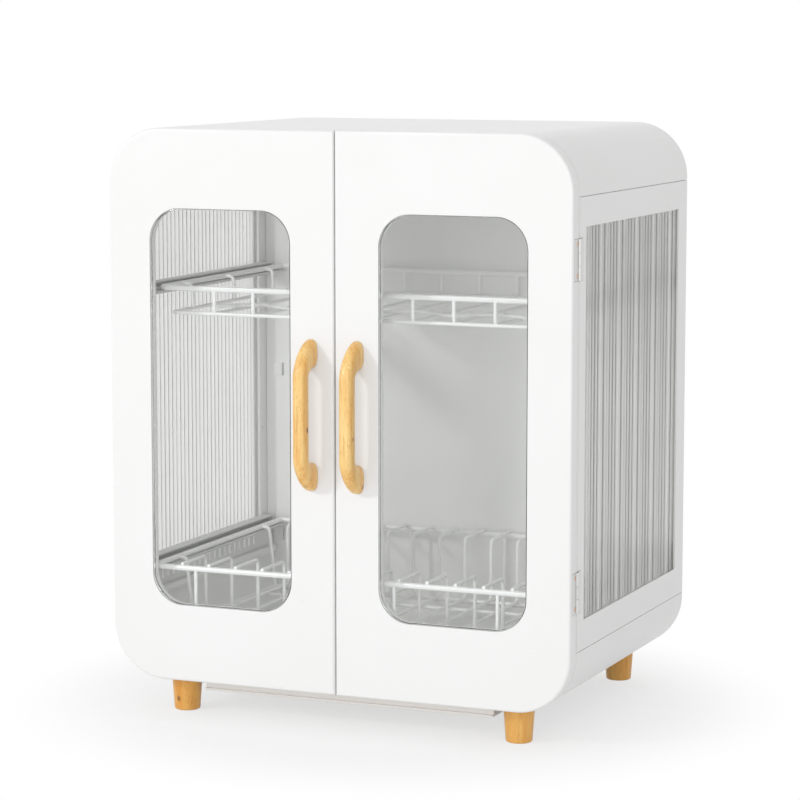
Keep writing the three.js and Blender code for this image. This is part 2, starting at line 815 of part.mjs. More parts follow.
// Bowl and cup rack: rim, a smaller frame below it, wires that run from front to back between
// them, and zigzag wires that lie across the floor wires.
function upperRack() {
  const front = frontY + upperRackFront;
  const rear = backY - upperRackRearInset;
  const low = -upperRackDrop;
  const rimX = rackSideX();
  const baseX = rimX - upperTaper;
  const shoulderX = railInnerX() - rackShoulder;
  const middleY = (front + rear) / 2;
  const upperWireCount = 2 * Math.floor((baseX - upperWireMargin) / upperWirePitch + 1 / 2);
  const runs = spread(upperWireCount, upperWirePitch).map((x) => wire(
    [[x, front, 0], [x, front, low], [x, rear, low], [x, rear, 0]], wireRadius));
  const base = wireFrame(baseX, front, rear, low, wireRadius);
  const stayPlaces = spread(upperSideStayCount, (rear - front) / upperSideStayCount);
  const sideStays = [-1, 1].flatMap((side) => stayPlaces.map((offset) => wire([
    [side * rimX, middleY + offset, 0], [side * shoulderX, middleY + offset, 0],
    [side * baseX, middleY + offset, low],
  ], wireRadius)));
  const zigzags = [front + zigzagMargin, rear - zigzagMargin - zigzagSwing].map((y) => {
    const turns = spread(upperWireCount + 1, upperWirePitch);
    const level = low + 2 * wireRadius - wireWeld;
    return wire(turns.map((x, i) => [x, y + (i % 2) * zigzagSwing, level]), wireRadius);
  });
  return geometryOf(joined([
    wireFrame(rimX, front, rear, 0, rimWireRadius), base, ...runs, ...sideStays, ...zigzags]));
}

// Plate rack: rim, a floor frame hung below it, and plate wires that step down from the front
// bar, run along the floor and step up again to the rear bar.
function lowerRack() {
  const front = frontY + lowerRackFront;
  const rear = backY - lowerRackRearInset;
  const low = -lowerRackDrop;
  const high = rimWireRadius + wireRadius - wireWeld;
  const near = front + plateRunLength;
  const far = rear - plateRunLength;
  const rimX = rackSideX();
  const shoulderX = railInnerX() - rackShoulder;
  const pairCount = Math.floor((rimX - plateWireMargin) / plateWirePitch);
  const plateWires = spread(2 * pairCount + 1, plateWirePitch).map((x) => wire(
    [[x, front, high], [x, near, high], [x, near, low], [x, far, low], [x, far, high], [x, rear, high]],
    wireRadius));
  const floorZ = low - 2 * wireRadius + wireWeld;
  const baseX = (pairCount + 1 / 2) * plateWirePitch;
  const crossWires = Array.from({ length: lowerCrossWireCount }, (_, i) => {
    const y = near + (far - near) * (i + 1 / 2) / lowerCrossWireCount;
    return wire([[-baseX, y, floorZ], [baseX, y, floorZ]], wireRadius);
  });
  const stays = spread(lowerStayCount, lowerStayPitch).flatMap((x) => [[front, near], [rear, far]].map(
    ([rimY, baseY]) => wire([[x, rimY, 0], [x, rimY, floorZ], [x, baseY, floorZ]], wireRadius)));
  const baseFrame = wireFrame(baseX, near, far, floorZ, wireRadius);
  const sideStays = [-1, 1].flatMap((side) => [near, far].map((y) => wire(
    [[side * rimX, y, 0], [side * shoulderX, y, 0], [side * baseX, y, floorZ]], wireRadius)));
  return geometryOf(joined([
    wireFrame(rimX, front, rear, 0, rimWireRadius), baseFrame,
    ...plateWires, ...crossWires, ...stays, ...sideStays]));
}

// Feet, tray and runners

function foot() {
  const top = footHeight - fitGap;
  const holeFloor = top - footScrewBite - fitGap;
  const profile = [
    [0, 0], [footBottomRadius - footChamfer, 0], [footBottomRadius, footChamfer], [footTopRadius, top],
    [footScrewRadius + fitGap, top], [footScrewRadius + fitGap, holeFloor], [0, holeFloor],
  ];
  const geometry = new THREE.LatheGeometry(profile.map(([r, z]) => new THREE.Vector2(r, z)), footSides);
  geometry.rotateX(Math.PI / 2);
  return geometryOf(solidOf(geometry));
}

function trayRunner() {
  const top = bodyBottom - fitGap;
  const y0 = frontY + trayFrontDepth - trayLip;
  const y1 = backY - trayRearInset;
  const height = 2 * runnerWall + runnerSlot;
  const channel = block(runnerInnerX, runnerOuterX, y0, y1, top - height, top);
  const slot = block(
    runnerInnerX - cutOverrun, runnerOuterX - runnerWall, y0 - cutOverrun, y1 + cutOverrun,
    top - runnerWall - runnerSlot, top - runnerWall);
  return geometryOf(channel.subtract(slot));
}

function dripTray() {
  const y0 = frontY + trayFrontDepth;
  const y1 = backY - trayRearInset;
  const low = bodyBottom - trayDrop;
  const high = bodyBottom - fitGap - runnerWall - fitGap;
  const flangeLow = bodyBottom - fitGap - runnerWall - runnerSlot + fitGap;
  const tub = block(-trayHalfWidth, trayHalfWidth, y0, y1, low, high);
  const basin = block(
    -trayHalfWidth + trayWall, trayHalfWidth - trayWall, y0 + trayWall, y1 - trayWall,
    low + trayFloor, high + cutOverrun);
  const flange = block(
    -trayHalfWidth - trayFlangeWidth, trayHalfWidth + trayFlangeWidth, y0, y1, flangeLow, high);
  const lip = block(-trayHalfWidth, trayHalfWidth, y0 - trayLip, y0 + trayWall, low, low + trayLip);
  return geometryOf(cut(joined([tub, flange, lip]), [basin]));
}

// Assembly

const cabinet = new THREE.Group();

function place(name, geometry, material, position = [0, 0, 0], rotation = [0, 0, 0]) {
  const mesh = new THREE.Mesh(geometry, material);
  mesh.name = name;
  mesh.position.set(...position);
  mesh.rotation.set(...rotation);
  cabinet.add(mesh);
}

function placePair(name, geometry, material, position = [0, 0, 0]) {
  place(`right_${name}`, geometry, material(), position);
  place(`left_${name}`, mirrorX(geometry), material(), position);
}

place('top_cover', topCover(), materials.whiteGloss());
place('base_shell', baseShell(), materials.whiteGloss());
place('floor_pan', floorPan(), materials.whiteSatin());
place('back_panel', backPanel(), materials.whiteSatin());
placePair('side_frame', sideFrame(), materials.whiteGloss);
placePair('ribbed_panel', ribbedPanel(), materials.clearRibbed);

placePair('door_shell', doorShell(), materials.whiteGloss);
placePair('door_inner_frame', doorInnerFrame(), materials.whiteSatin);
placePair('window', doorWindow(), materials.clearPane);
placePair('strike_plate', strikePlate(), materials.steel);
place('door_catch', doorCatch(), materials.magnet());

const handleScrewLength = doorThickness + fitGap + handleScrewBite;
const handleScrew = screw(
  handleScrewHeadRadius, handleScrewHeadHeight, handleScrewRadius, handleScrewLength);
const hingeScrew = screw(hingeScrewHeadRadius, hingeScrewHeadHeight, hingeScrewRadius, hingeScrewLength);
const quarterTurn = Math.PI / 2;

for (const [sideName, side] of [['right', 1], ['left', -1]]) {
  const x = side * handleSpacing / 2;
  place(`${sideName}_handle`, handle(), materials.beech(), [x, 0, 0]);
  handleScrewHeights().forEach((z, i) => {
    place(
      `${sideName}_handle_screw_${i + 1}`, handleScrew, materials.steel(),
      [x, doorBackY, z], [-quarterTurn, 0, 0]);
  });
  hingeScrewHeights().forEach((z, i) => {
    place(
      `${sideName}_hinge_screw_${i + 1}`, hingeScrew, materials.copper(),
      [side * halfWidth, hingeScrewY(), z], [0, side * quarterTurn, 0]);
  });
}

['lower', 'upper'].forEach((level, i) => {
  const position = [0, 0, hingeCentres()[i]];
  placePair(`${level}_door_leaf`, doorLeaf(), materials.steel, position);
  placePair(`${level}_body_leaf`, bodyLeaf(), materials.steel, position);
  placePair(`${level}_hinge_pin`, hingePin(), materials.steel, position);
});

const rimLevel = fitGap + rimWireRadius - railLedgeDrop;
placePair('upper_rail', rail(), materials.railGrey, [0, 0, bodyTop - upperRailDrop]);
placePair('lower_rail', rail(), materials.railGrey, [0, 0, bodyBottom + lowerRailRise]);
place('upper_rack', upperRack(), materials.coatedWire(), [0, 0, bodyTop - upperRailDrop + rimLevel]);
place('lower_rack', lowerRack(), materials.coatedWire(), [0, 0, bodyBottom + lowerRailRise + rimLevel]);

const footScrewTop = bossTop - fitGap;
const footScrewLength = footScrewTop - footHeight + fitGap + footScrewBite;
const footScrew = screw(
  footScrewHeadRadius, footScrewHeadHeight, footScrewRadius, footScrewLength);
for (const [corner, [x, y]] of Object.entries(bodyFootPlaces())) {
  place(`${corner}_foot`, foot(), materials.beech(), [x, y, 0]);
  place(`${corner}_foot_screw`, footScrew, materials.steel(), [x, y, footScrewTop]);
}

placePair('tray_runner', trayRunner(), materials.darkPlastic);
place('drip_tray', dripTray(), materials.trayPlastic());

export default cabinet;
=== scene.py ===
# %% [markdown]
# Dish storage cabinet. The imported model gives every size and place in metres. This script dresses
# it: smooth moulded shells, clear panels, coated wire racks and turned wood, with a studio round
# it.

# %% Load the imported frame
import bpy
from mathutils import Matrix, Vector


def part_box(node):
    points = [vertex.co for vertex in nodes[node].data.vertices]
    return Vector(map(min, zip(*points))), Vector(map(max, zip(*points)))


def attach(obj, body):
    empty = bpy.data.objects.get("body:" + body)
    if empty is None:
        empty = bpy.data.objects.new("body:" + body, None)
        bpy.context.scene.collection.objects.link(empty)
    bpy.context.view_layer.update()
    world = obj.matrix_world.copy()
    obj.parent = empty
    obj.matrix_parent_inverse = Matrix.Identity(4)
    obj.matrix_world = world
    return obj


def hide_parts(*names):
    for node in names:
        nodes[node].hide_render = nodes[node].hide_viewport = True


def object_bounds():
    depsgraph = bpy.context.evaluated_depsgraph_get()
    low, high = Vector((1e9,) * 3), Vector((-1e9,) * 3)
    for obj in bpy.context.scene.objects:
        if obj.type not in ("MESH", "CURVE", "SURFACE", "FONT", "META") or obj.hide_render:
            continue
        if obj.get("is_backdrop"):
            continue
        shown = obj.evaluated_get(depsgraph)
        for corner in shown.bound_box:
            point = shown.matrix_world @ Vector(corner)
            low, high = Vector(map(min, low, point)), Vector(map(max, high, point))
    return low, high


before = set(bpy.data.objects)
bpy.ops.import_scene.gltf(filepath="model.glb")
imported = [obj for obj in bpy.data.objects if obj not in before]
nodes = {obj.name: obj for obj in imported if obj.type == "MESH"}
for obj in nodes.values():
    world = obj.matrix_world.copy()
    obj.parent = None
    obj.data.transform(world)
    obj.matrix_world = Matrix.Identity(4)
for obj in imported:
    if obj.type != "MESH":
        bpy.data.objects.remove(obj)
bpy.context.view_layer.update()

# %% Libraries and units
import math

import bmesh
import bpy
from mathutils import Matrix, Vector

MM = 0.001
QUARTER = math.pi / 2
FIT = 0.3 * MM  # the gap between two pieces that meet
LEVEL = FIT / 10  # points closer than this count as level
OVERRUN = 2 * MM  # how far a cutter sticks out of what it cuts
print("nodes in the frame", len(nodes))

# %% [markdown]
# The photo was taken from the front right, a little above the middle. The camera's place, turn and
# lens come from fitting the case's straight edges. A shift could keep the uprights parallel, but
# it would move the cabinet off centre in every other view, so the camera is simply pitched.

# %% Camera
CAMERA_PLACE = Vector((997.4, -2357.6, 592.4)) * MM
CAMERA_YAW = math.radians(22.9)
CAMERA_PITCH = math.radians(7.26)
CAMERA_LENS = 132.6
FAR_CLIP = 50
camera = bpy.data.objects.new("camera", bpy.data.cameras.new("camera"))
camera.data.lens = CAMERA_LENS
camera.data.clip_end = FAR_CLIP
camera.location = CAMERA_PLACE
camera.rotation_euler = (QUARTER - CAMERA_PITCH, 0, CAMERA_YAW)
bpy.context.scene.collection.objects.link(camera)
bpy.context.scene.camera = camera
bpy.context.scene.view_settings.view_transform = "Standard"

# %% [markdown]
# Every finish below is a small node tree. Colours are written as sRGB hex, as a colour picker
# shows them, and one function turns them into the linear values that a shader needs. Another
# adds a node, sets its values and links it, so that a material reads from top to bottom.

# %% Colour and node helpers
def linear(hex_code):
    """An sRGB hex colour as linear red, green, blue and alpha."""
    shares = [int(hex_code[i:i + 2], 16) / 255 for i in (1, 3, 5)]
    plain = [s / 12.92 if s <= 0.04045 else ((s + 0.055) / 1.055) ** 2.4 for s in shares]
    return (*plain, 1.0)


def add(tree, kind, inputs=None, **settings):
    """Adds a node. An input that is a socket is linked, and any other is a plain value."""
    node = tree.nodes.new(kind)
    for key, value in settings.items():
        setattr(node, key, value)
    for key, value in (inputs or {}).items():
        if isinstance(value, bpy.types.NodeSocket):
            tree.links.new(value, node.inputs[key])
        else:
            node.inputs[key].default_value = value
    return node


def new_material(name):
    """An empty material, its node tree and the object's own coordinates."""
    material = bpy.data.materials.new(name)
    material.use_nodes = True
    tree = material.node_tree
    tree.nodes.clear()
    return material, tree, add(tree, "ShaderNodeTexCoord").outputs["Object"]


# %% [markdown]
# The case and the doors are injection-moulded ABS from a polished mould: a clean white with a soft
# gloss, and a very slight unevenness that only shows in reflections. The inner parts come from a
# spark-eroded mould, which leaves a fine satin grain.

# %% White plastics
def gloss_white_abs():
    material, tree, place = new_material("gloss white ABS")
    cloud = add(tree, "ShaderNodeTexNoise", {
        "Vector": place, "Scale": 1 / (90 * MM), "Detail": 2.0})
    tone = add(tree, "ShaderNodeMix", {
        0: cloud.outputs["Fac"], 6: linear("#F0F0EF"), 7: linear("#F5F5F5")}, data_type="RGBA")
    ripple = add(tree, "ShaderNodeTexNoise", {
        "Vector": place, "Scale": 1 / (4 * MM), "Detail": 1.0})
    gloss = add(tree, "ShaderNodeMapRange", {
        "Value": ripple.outputs["Fac"], "To Min": 0.26, "To Max": 0.34})
    relief = add(tree, "ShaderNodeBump", {
        "Height": ripple.outputs["Fac"], "Strength": 0.15, "Distance": 0.02 * MM})
    surface = add(tree, "ShaderNodeBsdfPrincipled", {
        "Base Color": tone.outputs[2], "Roughness": gloss.outputs["Result"],
        "Normal": relief.outputs["Normal"], "IOR": 1.53})
    add(tree, "ShaderNodeOutputMaterial", {"Surface": surface.outputs["BSDF"]})
    return material


def satin_plastic(name, dark, pale, roughness):
    """Moulded plastic with a spark-eroded grain, drawn 0.7 mm wide, a little coarser than life."""
    material, tree, place = new_material(name)
    grain = add(tree, "ShaderNodeTexNoise", {
        "Vector": place, "Scale": 1 / (0.7 * MM), "Detail": 2.0})
    tone = add(tree, "ShaderNodeMix", {
        0: grain.outputs["Fac"], 6: linear(dark), 7: linear(pale)}, data_type="RGBA")
    relief = add(tree, "ShaderNodeBump", {
        "Height": grain.outputs["Fac"], "Strength": 0.3, "Distance": 0.03 * MM})
    gloss = add(tree, "ShaderNodeMapRange", {
        "Value": grain.outputs["Fac"], "To Min": roughness - 0.06, "To Max": roughness + 0.06})
    surface = add(tree, "ShaderNodeBsdfPrincipled", {
        "Base Color": tone.outputs[2], "Roughness": gloss.outputs["Result"],
        "Normal": relief.outputs["Normal"], "IOR": 1.53})
    add(tree, "ShaderNodeOutputMaterial", {"Surface": surface.outputs["BSDF"]})
    return material


gloss_white = gloss_white_abs()
satin_white = satin_plastic("satin white ABS", "#F6F6F4", "#FAFAF8", 0.46)
rail_grey = satin_plastic("light grey rail plastic", "#D2D2D0", "#DBDBD9", 0.42)
bracket_grey = satin_plastic("dark grey nylon", "#6B6B6B", "#787878", 0.55)
tray_white = satin_plastic("warm white tray plastic", "#F3EEE9", "#FAF6F2", 0.5)
print("white plastics made")

# %% [markdown]
# The windows are polished acrylic and the side panels are clear polystyrene. Both are real
# refracting solids here, because their edges and flutes bend what lies behind them. The side
# panels' moulded skin is slightly hazy, which veils what stands far behind it. Glass lets no
# lamp light through to what it covers without very many samples, so rays from lamps and from lit
# surfaces see a plain transparent surface with a faint tint, and the inside is lit as through the
# real pane.

# %% Clear plastics
HAZE_ROUGHNESS = 0.3


def clear_plastic(name, tint, clearer, shade, ior, haze, ripple_size, ripple_depth):
    """A clear moulded sheet. The shade is what it takes from the light that passes, and the haze
    is the share of its surface that scatters as a moulded skin does."""
    material, tree, place = new_material(name)
    ripple = add(tree, "ShaderNodeTexNoise", {
        "Vector": place, "Scale": 1 / ripple_size, "Detail": 1.0})
    tone = add(tree, "ShaderNodeMix", {
        0: ripple.outputs["Fac"], 6: linear(tint), 7: linear(clearer)}, data_type="RGBA")
    relief = add(tree, "ShaderNodeBump", {
        "Height": ripple.outputs["Fac"], "Strength": 0.2, "Distance": ripple_depth})
    polished, moulded = [add(tree, "ShaderNodeBsdfPrincipled", {
        "Base Color": tone.outputs[2], "Roughness": roughness, "IOR": ior,
        "Transmission Weight": 1.0, "Normal": relief.outputs["Normal"]})
        for roughness in (0.0, HAZE_ROUGHNESS)]
    sheet = add(tree, "ShaderNodeMixShader", {
        0: haze, 1: polished.outputs["BSDF"], 2: moulded.outputs["BSDF"]})
    lit = add(tree, "ShaderNodeBsdfTransparent", {"Color": linear(shade)})
    ray = add(tree, "ShaderNodeLightPath")
    light = add(tree, "ShaderNodeMath", {
        0: ray.outputs["Is Shadow Ray"], 1: ray.outputs["Is Diffuse Ray"]}, operation="MAXIMUM")
    both = add(tree, "ShaderNodeMixShader", {
        0: light.outputs[0], 1: sheet.outputs["Shader"], 2: lit.outputs["BSDF"]})
    add(tree, "ShaderNodeOutputMaterial", {"Surface": both.outputs["Shader"]})
    return material


clear_acrylic = clear_plastic(
    "polished acrylic", "#F9FAFA", "#FFFFFF", "#FBFCFC", 1.49, 0.0, 60 * MM, 0.01 * MM)
fluted_clear = clear_plastic(
    "fluted clear polystyrene", "#EEEEEC", "#F4F4F3", "#F0F0EF", 1.59, 0.35, 30 * MM, 0.02 * MM)
print("clear plastics made")

# %% [markdown]
# The racks are steel wire dipped in white plastic. The coating is thick and flows a little before
# it sets, so it is smooth and soft to the eye, with shallow waves along the wire.

# %% Dipped coating
def dipped_white_coating():
    material, tree, place = new_material("white dipped coating")
    flow = add(tree, "ShaderNodeTexNoise", {"Vector": place, "Scale": 1 / (6 * MM), "Detail": 2.0})
    tone = add(tree, "ShaderNodeMix", {
        0: flow.outputs["Fac"], 6: linear("#F9F9F8"), 7: linear("#FFFFFE")}, data_type="RGBA")
    relief = add(tree, "ShaderNodeBump", {
        "Height": flow.outputs["Fac"], "Strength": 0.4, "Distance": 0.15 * MM})
    surface = add(tree, "ShaderNodeBsdfPrincipled", {
        "Base Color": tone.outputs[2], "Roughness": 0.32, "Normal": relief.outputs["Normal"],
        "Coat Weight": 0.3, "Coat Roughness": 0.15})
    add(tree, "ShaderNodeOutputMaterial", {"Surface": surface.outputs["BSDF"]})
    return material


wire_coating = dipped_white_coating()
print("coating made")

# %% [markdown]
# Handles and feet are a light, warm wood under a satin lacquer. The grain runs upwards. Three
# noises stretched along Z draw it: wide tone bands, narrow late-wood streaks and short pores. A few
# small dark knots sit in it. The pores are drawn 0.6 mm wide, coarser than life, so that they
# show. Light that bounces off the wood is kept paler than the wood, because the doors beside the
# real handles stay a neutral white. The feet are the same wood, a little redder and deeper.

# %% Lacquered wood
def lacquered_wood(name, deep, pale):
    material, tree, place = new_material(name)
    bands_space = add(tree, "ShaderNodeMapping", {
        "Vector": place, "Scale": (1 / (9 * MM), 1 / (9 * MM), 1 / (70 * MM))})
    bands = add(tree, "ShaderNodeTexNoise", {
        "Vector": bands_space.outputs["Vector"], "Scale": 1.0, "Detail": 3.0, "Distortion": 0.6})
    streak_space = add(tree, "ShaderNodeMapping", {
        "Vector": place, "Scale": (1 / (1.6 * MM), 1 / (1.6 * MM), 1 / (38 * MM))})
    streaks = add(tree, "ShaderNodeTexNoise", {
        "Vector": streak_space.outputs["Vector"], "Scale": 1.0, "Detail": 4.0, "Distortion": 0.4})
    pore_space = add(tree, "ShaderNodeMapping", {
        "Vector": place, "Scale": (1 / (0.6 * MM), 1 / (0.6 * MM), 1 / (5 * MM))})
    pores = add(tree, "ShaderNodeTexNoise", {
        "Vector": pore_space.outputs["Vector"], "Scale": 1.0, "Detail": 1.0})
    knot_space = add(tree, "ShaderNodeMapping", {
        "Vector": place, "Scale": (1 / (20 * MM), 1 / (20 * MM), 1 / (26 * MM))})
    knots = add(tree, "ShaderNodeTexVoronoi", {
        "Vector": knot_space.outputs["Vector"], "Scale": 1.0})
    body = add(tree, "ShaderNodeMapRange", {
        "Value": bands.outputs["Fac"], "From Min": 0.3, "From Max": 0.7})
    tone = add(tree, "ShaderNodeMix", {
        0: body.outputs["Result"], 6: linear(deep), 7: linear(pale)}, data_type="RGBA")
    late = add(tree, "ShaderNodeMapRange", {
        "Value": streaks.outputs["Fac"], "From Min": 0.52, "From Max": 0.72, "To Max": 0.5})
    grained = add(tree, "ShaderNodeMix", {
        0: late.outputs["Result"], 6: tone.outputs[2], 7: linear("#C98338")}, data_type="RGBA")
    open_pore = add(tree, "ShaderNodeMapRange", {
        "Value": pores.outputs["Fac"], "From Min": 0.6, "From Max": 0.72, "To Max": 0.35})
    porous = add(tree, "ShaderNodeMix", {
        0: open_pore.outputs["Result"], 6: grained.outputs[2], 7: linear("#A8652B")},
        data_type="RGBA")
    knot = add(tree, "ShaderNodeMapRange", {
        "Value": knots.outputs["Distance"], "From Min": 0.13, "From Max": 0.05, "To Max": 0.85})
    colour = add(tree, "ShaderNodeMix", {
        0: knot.outputs["Result"], 6: porous.outputs[2], 7: linear("#7A451C")}, data_type="RGBA")
    ray = add(tree, "ShaderNodeLightPath")
    bounced = add(tree, "ShaderNodeMath", {
        0: ray.outputs["Is Diffuse Ray"], 1: 0.7}, operation="MULTIPLY")
    colour = add(tree, "ShaderNodeMix", {
        0: bounced.outputs[0], 6: colour.outputs[2], 7: linear("#D8D0C8")}, data_type="RGBA")
    relief = add(tree, "ShaderNodeBump", {
        "Height": streaks.outputs["Fac"], "Strength": 0.2, "Distance": 0.06 * MM})
    gloss = add(tree, "ShaderNodeMapRange", {
        "Value": streaks.outputs["Fac"], "To Min": 0.36, "To Max": 0.52})
    surface = add(tree, "ShaderNodeBsdfPrincipled", {
        "Base Color": colour.outputs[2], "Roughness": gloss.outputs["Result"],
        "Normal": relief.outputs["Normal"], "Coat Weight": 0.25, "Coat Roughness": 0.25})
    add(tree, "ShaderNodeOutputMaterial", {"Surface": surface.outputs["BSDF"]})
    return material


handle_wood = lacquered_wood("lacquered light wood", "#EFB45E", "#FDD98F")
foot_wood = lacquered_wood("lacquered deep wood", "#E29C3E", "#F1BC65")
print("wood made")

# %% [markdown]
# The hinges are pressed from zinc-plated steel strip, whose rolling marks run along the leaf, and
# their screws are copper-plated. Both are metals: the colour sits in the reflection. The marks
# are drawn 0.3 mm wide, coarser than life, so that they show.

# %% Metals
def plated_metal(name, dark, pale, roughness):
    material, tree, place = new_material(name)
    rolled = add(tree, "ShaderNodeMapping", {
        "Vector": place, "Scale": (1 / (0.3 * MM), 1 / (0.3 * MM), 1 / (12 * MM))})
    marks = add(tree, "ShaderNodeTexNoise", {
        "Vector": rolled.outputs["Vector"], "Scale": 1.0, "Detail": 2.0})
    tone = add(tree, "ShaderNodeMix", {
        0: marks.outputs["Fac"], 6: linear(dark), 7: linear(pale)}, data_type="RGBA")
    gloss = add(tree, "ShaderNodeMapRange", {
        "Value": marks.outputs["Fac"], "To Min": roughness - 0.08, "To Max": roughness + 0.08})
    surface = add(tree, "ShaderNodeBsdfPrincipled", {
        "Base Color": tone.outputs[2], "Roughness": gloss.outputs["Result"], "Metallic": 1.0})
    add(tree, "ShaderNodeOutputMaterial", {"Surface": surface.outputs["BSDF"]})
    return material


zinc = plated_metal("zinc-plated steel", "#C9C9C8", "#DADAD9", 0.33)
copper = plated_metal("copper-plated screw", "#DDA783", "#F3CBAB", 0.32)
print("metals made")

# %% [markdown]
# A finished piece leaves its bmesh in the same way each time: doubles merged, faces turned
# outwards, sharp edges marked, and weighted normals so that flat faces stay flat in reflections
# beside their rounded edges. Then it is hung on the body that carries it, and the imported nodes
# it replaces are hidden.

# %% Finishing a piece
SHARP = math.radians(38)
MERGE = 0.005 * MM


def finish_piece(bm, name, material, slot, body, *replaced):
    """Turns a bmesh into a finished object on its body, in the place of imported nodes."""
    bmesh.ops.remove_doubles(bm, verts=bm.verts, dist=MERGE)
    bmesh.ops.recalc_face_normals(bm, faces=bm.faces)
    for face in bm.faces:
        face.smooth = True
    for edge in bm.edges:
        edge.smooth = len(edge.link_faces) == 2 and edge.calc_face_angle() < SHARP
    mesh = bpy.data.meshes.new(name)
    bm.to_mesh(mesh)
    bm.free()
    mesh.materials.append(material)
    piece = bpy.data.objects.new(name, mesh)
    bpy.context.scene.collection.objects.link(piece)
    weighted = piece.modifiers.new("weighted normals", "WEIGHTED_NORMAL")
    weighted.keep_sharp = True
    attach(piece, body)
    if replaced:
        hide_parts(*replaced)
    print(name, "has", len(mesh.polygons), "faces")


# %% Extruding and bevelling
def extrude(bm, faces, step):
    """Pushes faces out by a step and returns the faces at the far end."""
    grown = bmesh.ops.extrude_face_region(bm, geom=faces)["geom"]
    moved = [g for g in grown if isinstance(g, bmesh.types.BMVert)]
    bmesh.ops.translate(bm, vec=step, verts=moved)
    return [g for g in grown if isinstance(g, bmesh.types.BMFace)]


def soften(bm, edges, width, segments=3):
    """Rounds edges with a quarter circle of that width."""
    bmesh.ops.bevel(bm, geom=edges, offset=width, segments=segments, profile=0.5,
                    affect="EDGES", material=-1, clamp_overlap=True)


def flat_face(bm, y, low, high, radii, segments=24):
    """A face across the cabinet at depth y, from its low to its high corner in X and Z, with a
    radius for each corner: bottom left, bottom right, top right, top left."""
    places = [(low[0], low[1]), (high[0], low[1]), (high[0], high[1]), (low[0], high[1])]
    corners = [bm.verts.new((x, y, z)) for x, z in places]
    bm.faces.new(corners)
    for corner, radius in zip(corners, radii):
        if radius > 0:
            bmesh.ops.bevel(bm, geom=[corner], offset=radius, segments=segments, profile=0.5,
                            affect="VERTICES", material=-1)


# %% Cutting slots and holes
def carve(bm, cutters):
    """Cuts one mesh out of another with a Boolean modifier, and gives what is left."""
    holders = []
    for name, shape in (("stock", bm), ("cutters", cutters)):
        mesh = bpy.data.meshes.new(name)
        bmesh.ops.recalc_face_normals(shape, faces=shape.faces)
        shape.to_mesh(mesh)
        shape.free()
        holders.append(bpy.data.objects.new(name, mesh))
        bpy.context.scene.collection.objects.link(holders[-1])
    cut = holders[0].modifiers.new("cut", "BOOLEAN")
    cut.operation, cut.solver, cut.object = "DIFFERENCE", "EXACT", holders[1]
    left = bmesh.new()
    left.from_object(holders[0], bpy.context.evaluated_depsgraph_get())
    for holder in holders:
        mesh = holder.data
        bpy.data.objects.remove(holder)
        bpy.data.meshes.remove(mesh)
    return left


def block(bm, low, high, radius=0.0):
    """A box from its low to its high corner, with rounded edges if a radius is given."""
    low, high = Vector(low), Vector(high)
    place = Matrix.Translation((low + high) / 2) @ Matrix.Diagonal(high - low).to_4x4()
    made = bmesh.ops.create_cube(bm, size=1.0, matrix=place)["verts"]
    if radius > 0:
        soften(bm, list(dict.fromkeys(e for v in made for e in v.link_edges)), radius, 2)


# %% [markdown]
# The case is two arches, the top cover and the base shell, that close over the side frames. A cut
# through one at the middle is a thin wall with a thicker rim at each end. That section is
# pushed out to the shoulder, spun round the corner and pushed on to the seam, as a moulder's
# drawing is read, and the left half is its mirror image.

# %% Case arches
CORNER = 48 * MM
WALL = 4 * MM
RIM = 7 * MM
RIM_DEPTH = 12 * MM
EDGE = 0.8 * MM
SEAM_EDGE = 0.35 * MM
ARCH_STEPS = 24


def mirror_left(bm):
    """Opens a right half at the middle and mirrors it to the left."""
    middle = [f for f in bm.faces if all(abs(v.co.x) < LEVEL for v in f.verts)]
    bmesh.ops.delete(bm, geom=middle, context="FACES")
    bmesh.ops.mirror(bm, geom=[*bm.verts, *bm.edges, *bm.faces], merge_dist=LEVEL, axis="X")


def case_arch(name, node, side):
    """The top cover, with side 1, or the base shell, with side -1."""
    low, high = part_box(node)
    crown = high.z if side > 0 else low.z
    seam = low.z if side > 0 else high.z
    shoulder = Vector((high.x - CORNER, 0, crown - side * CORNER))
    section = [
        (low.y, 0), (high.y, 0), (high.y, RIM), (high.y - RIM_DEPTH, RIM),
        (high.y - RIM_DEPTH, WALL), (low.y + RIM_DEPTH, WALL), (low.y + RIM_DEPTH, RIM),
        (low.y, RIM)]
    bm = bmesh.new()
    corners = [bm.verts.new((0, y, crown - side * inset)) for y, inset in section]
    bm.faces.new(corners)
    bmesh.ops.bevel(bm, geom=corners, offset=EDGE, segments=3, profile=0.5,
                    affect="VERTICES", material=-1)
    start = bm.faces[:]
    reached = extrude(bm, start, Vector((shoulder.x, 0, 0)))[0]
    turned = bmesh.ops.spin(
        bm, geom=[reached, *reached.edges, *reached.verts], cent=shoulder, axis=(0, 1, 0),
        angle=side * QUARTER, steps=ARCH_STEPS)["geom_last"]
    reached = [g for g in turned if isinstance(g, bmesh.types.BMFace)]
    end = extrude(bm, reached, Vector((0, 0, seam - shoulder.z)))[0]
    soften(bm, end.edges[:], SEAM_EDGE, 2)
    mirror_left(bm)
    finish_piece(bm, name, gloss_white, "white_shell", "cabinet", node)


case_arch("case_top", "top_cover", 1)
case_arch("case_base", "base_shell", -1)

# %% [markdown]
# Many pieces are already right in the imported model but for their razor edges: real mouldings and
# pressings have a small radius that catches the light. A copy of the node is merged, its flat
# triangles are joined, and its sharp edges are rounded.

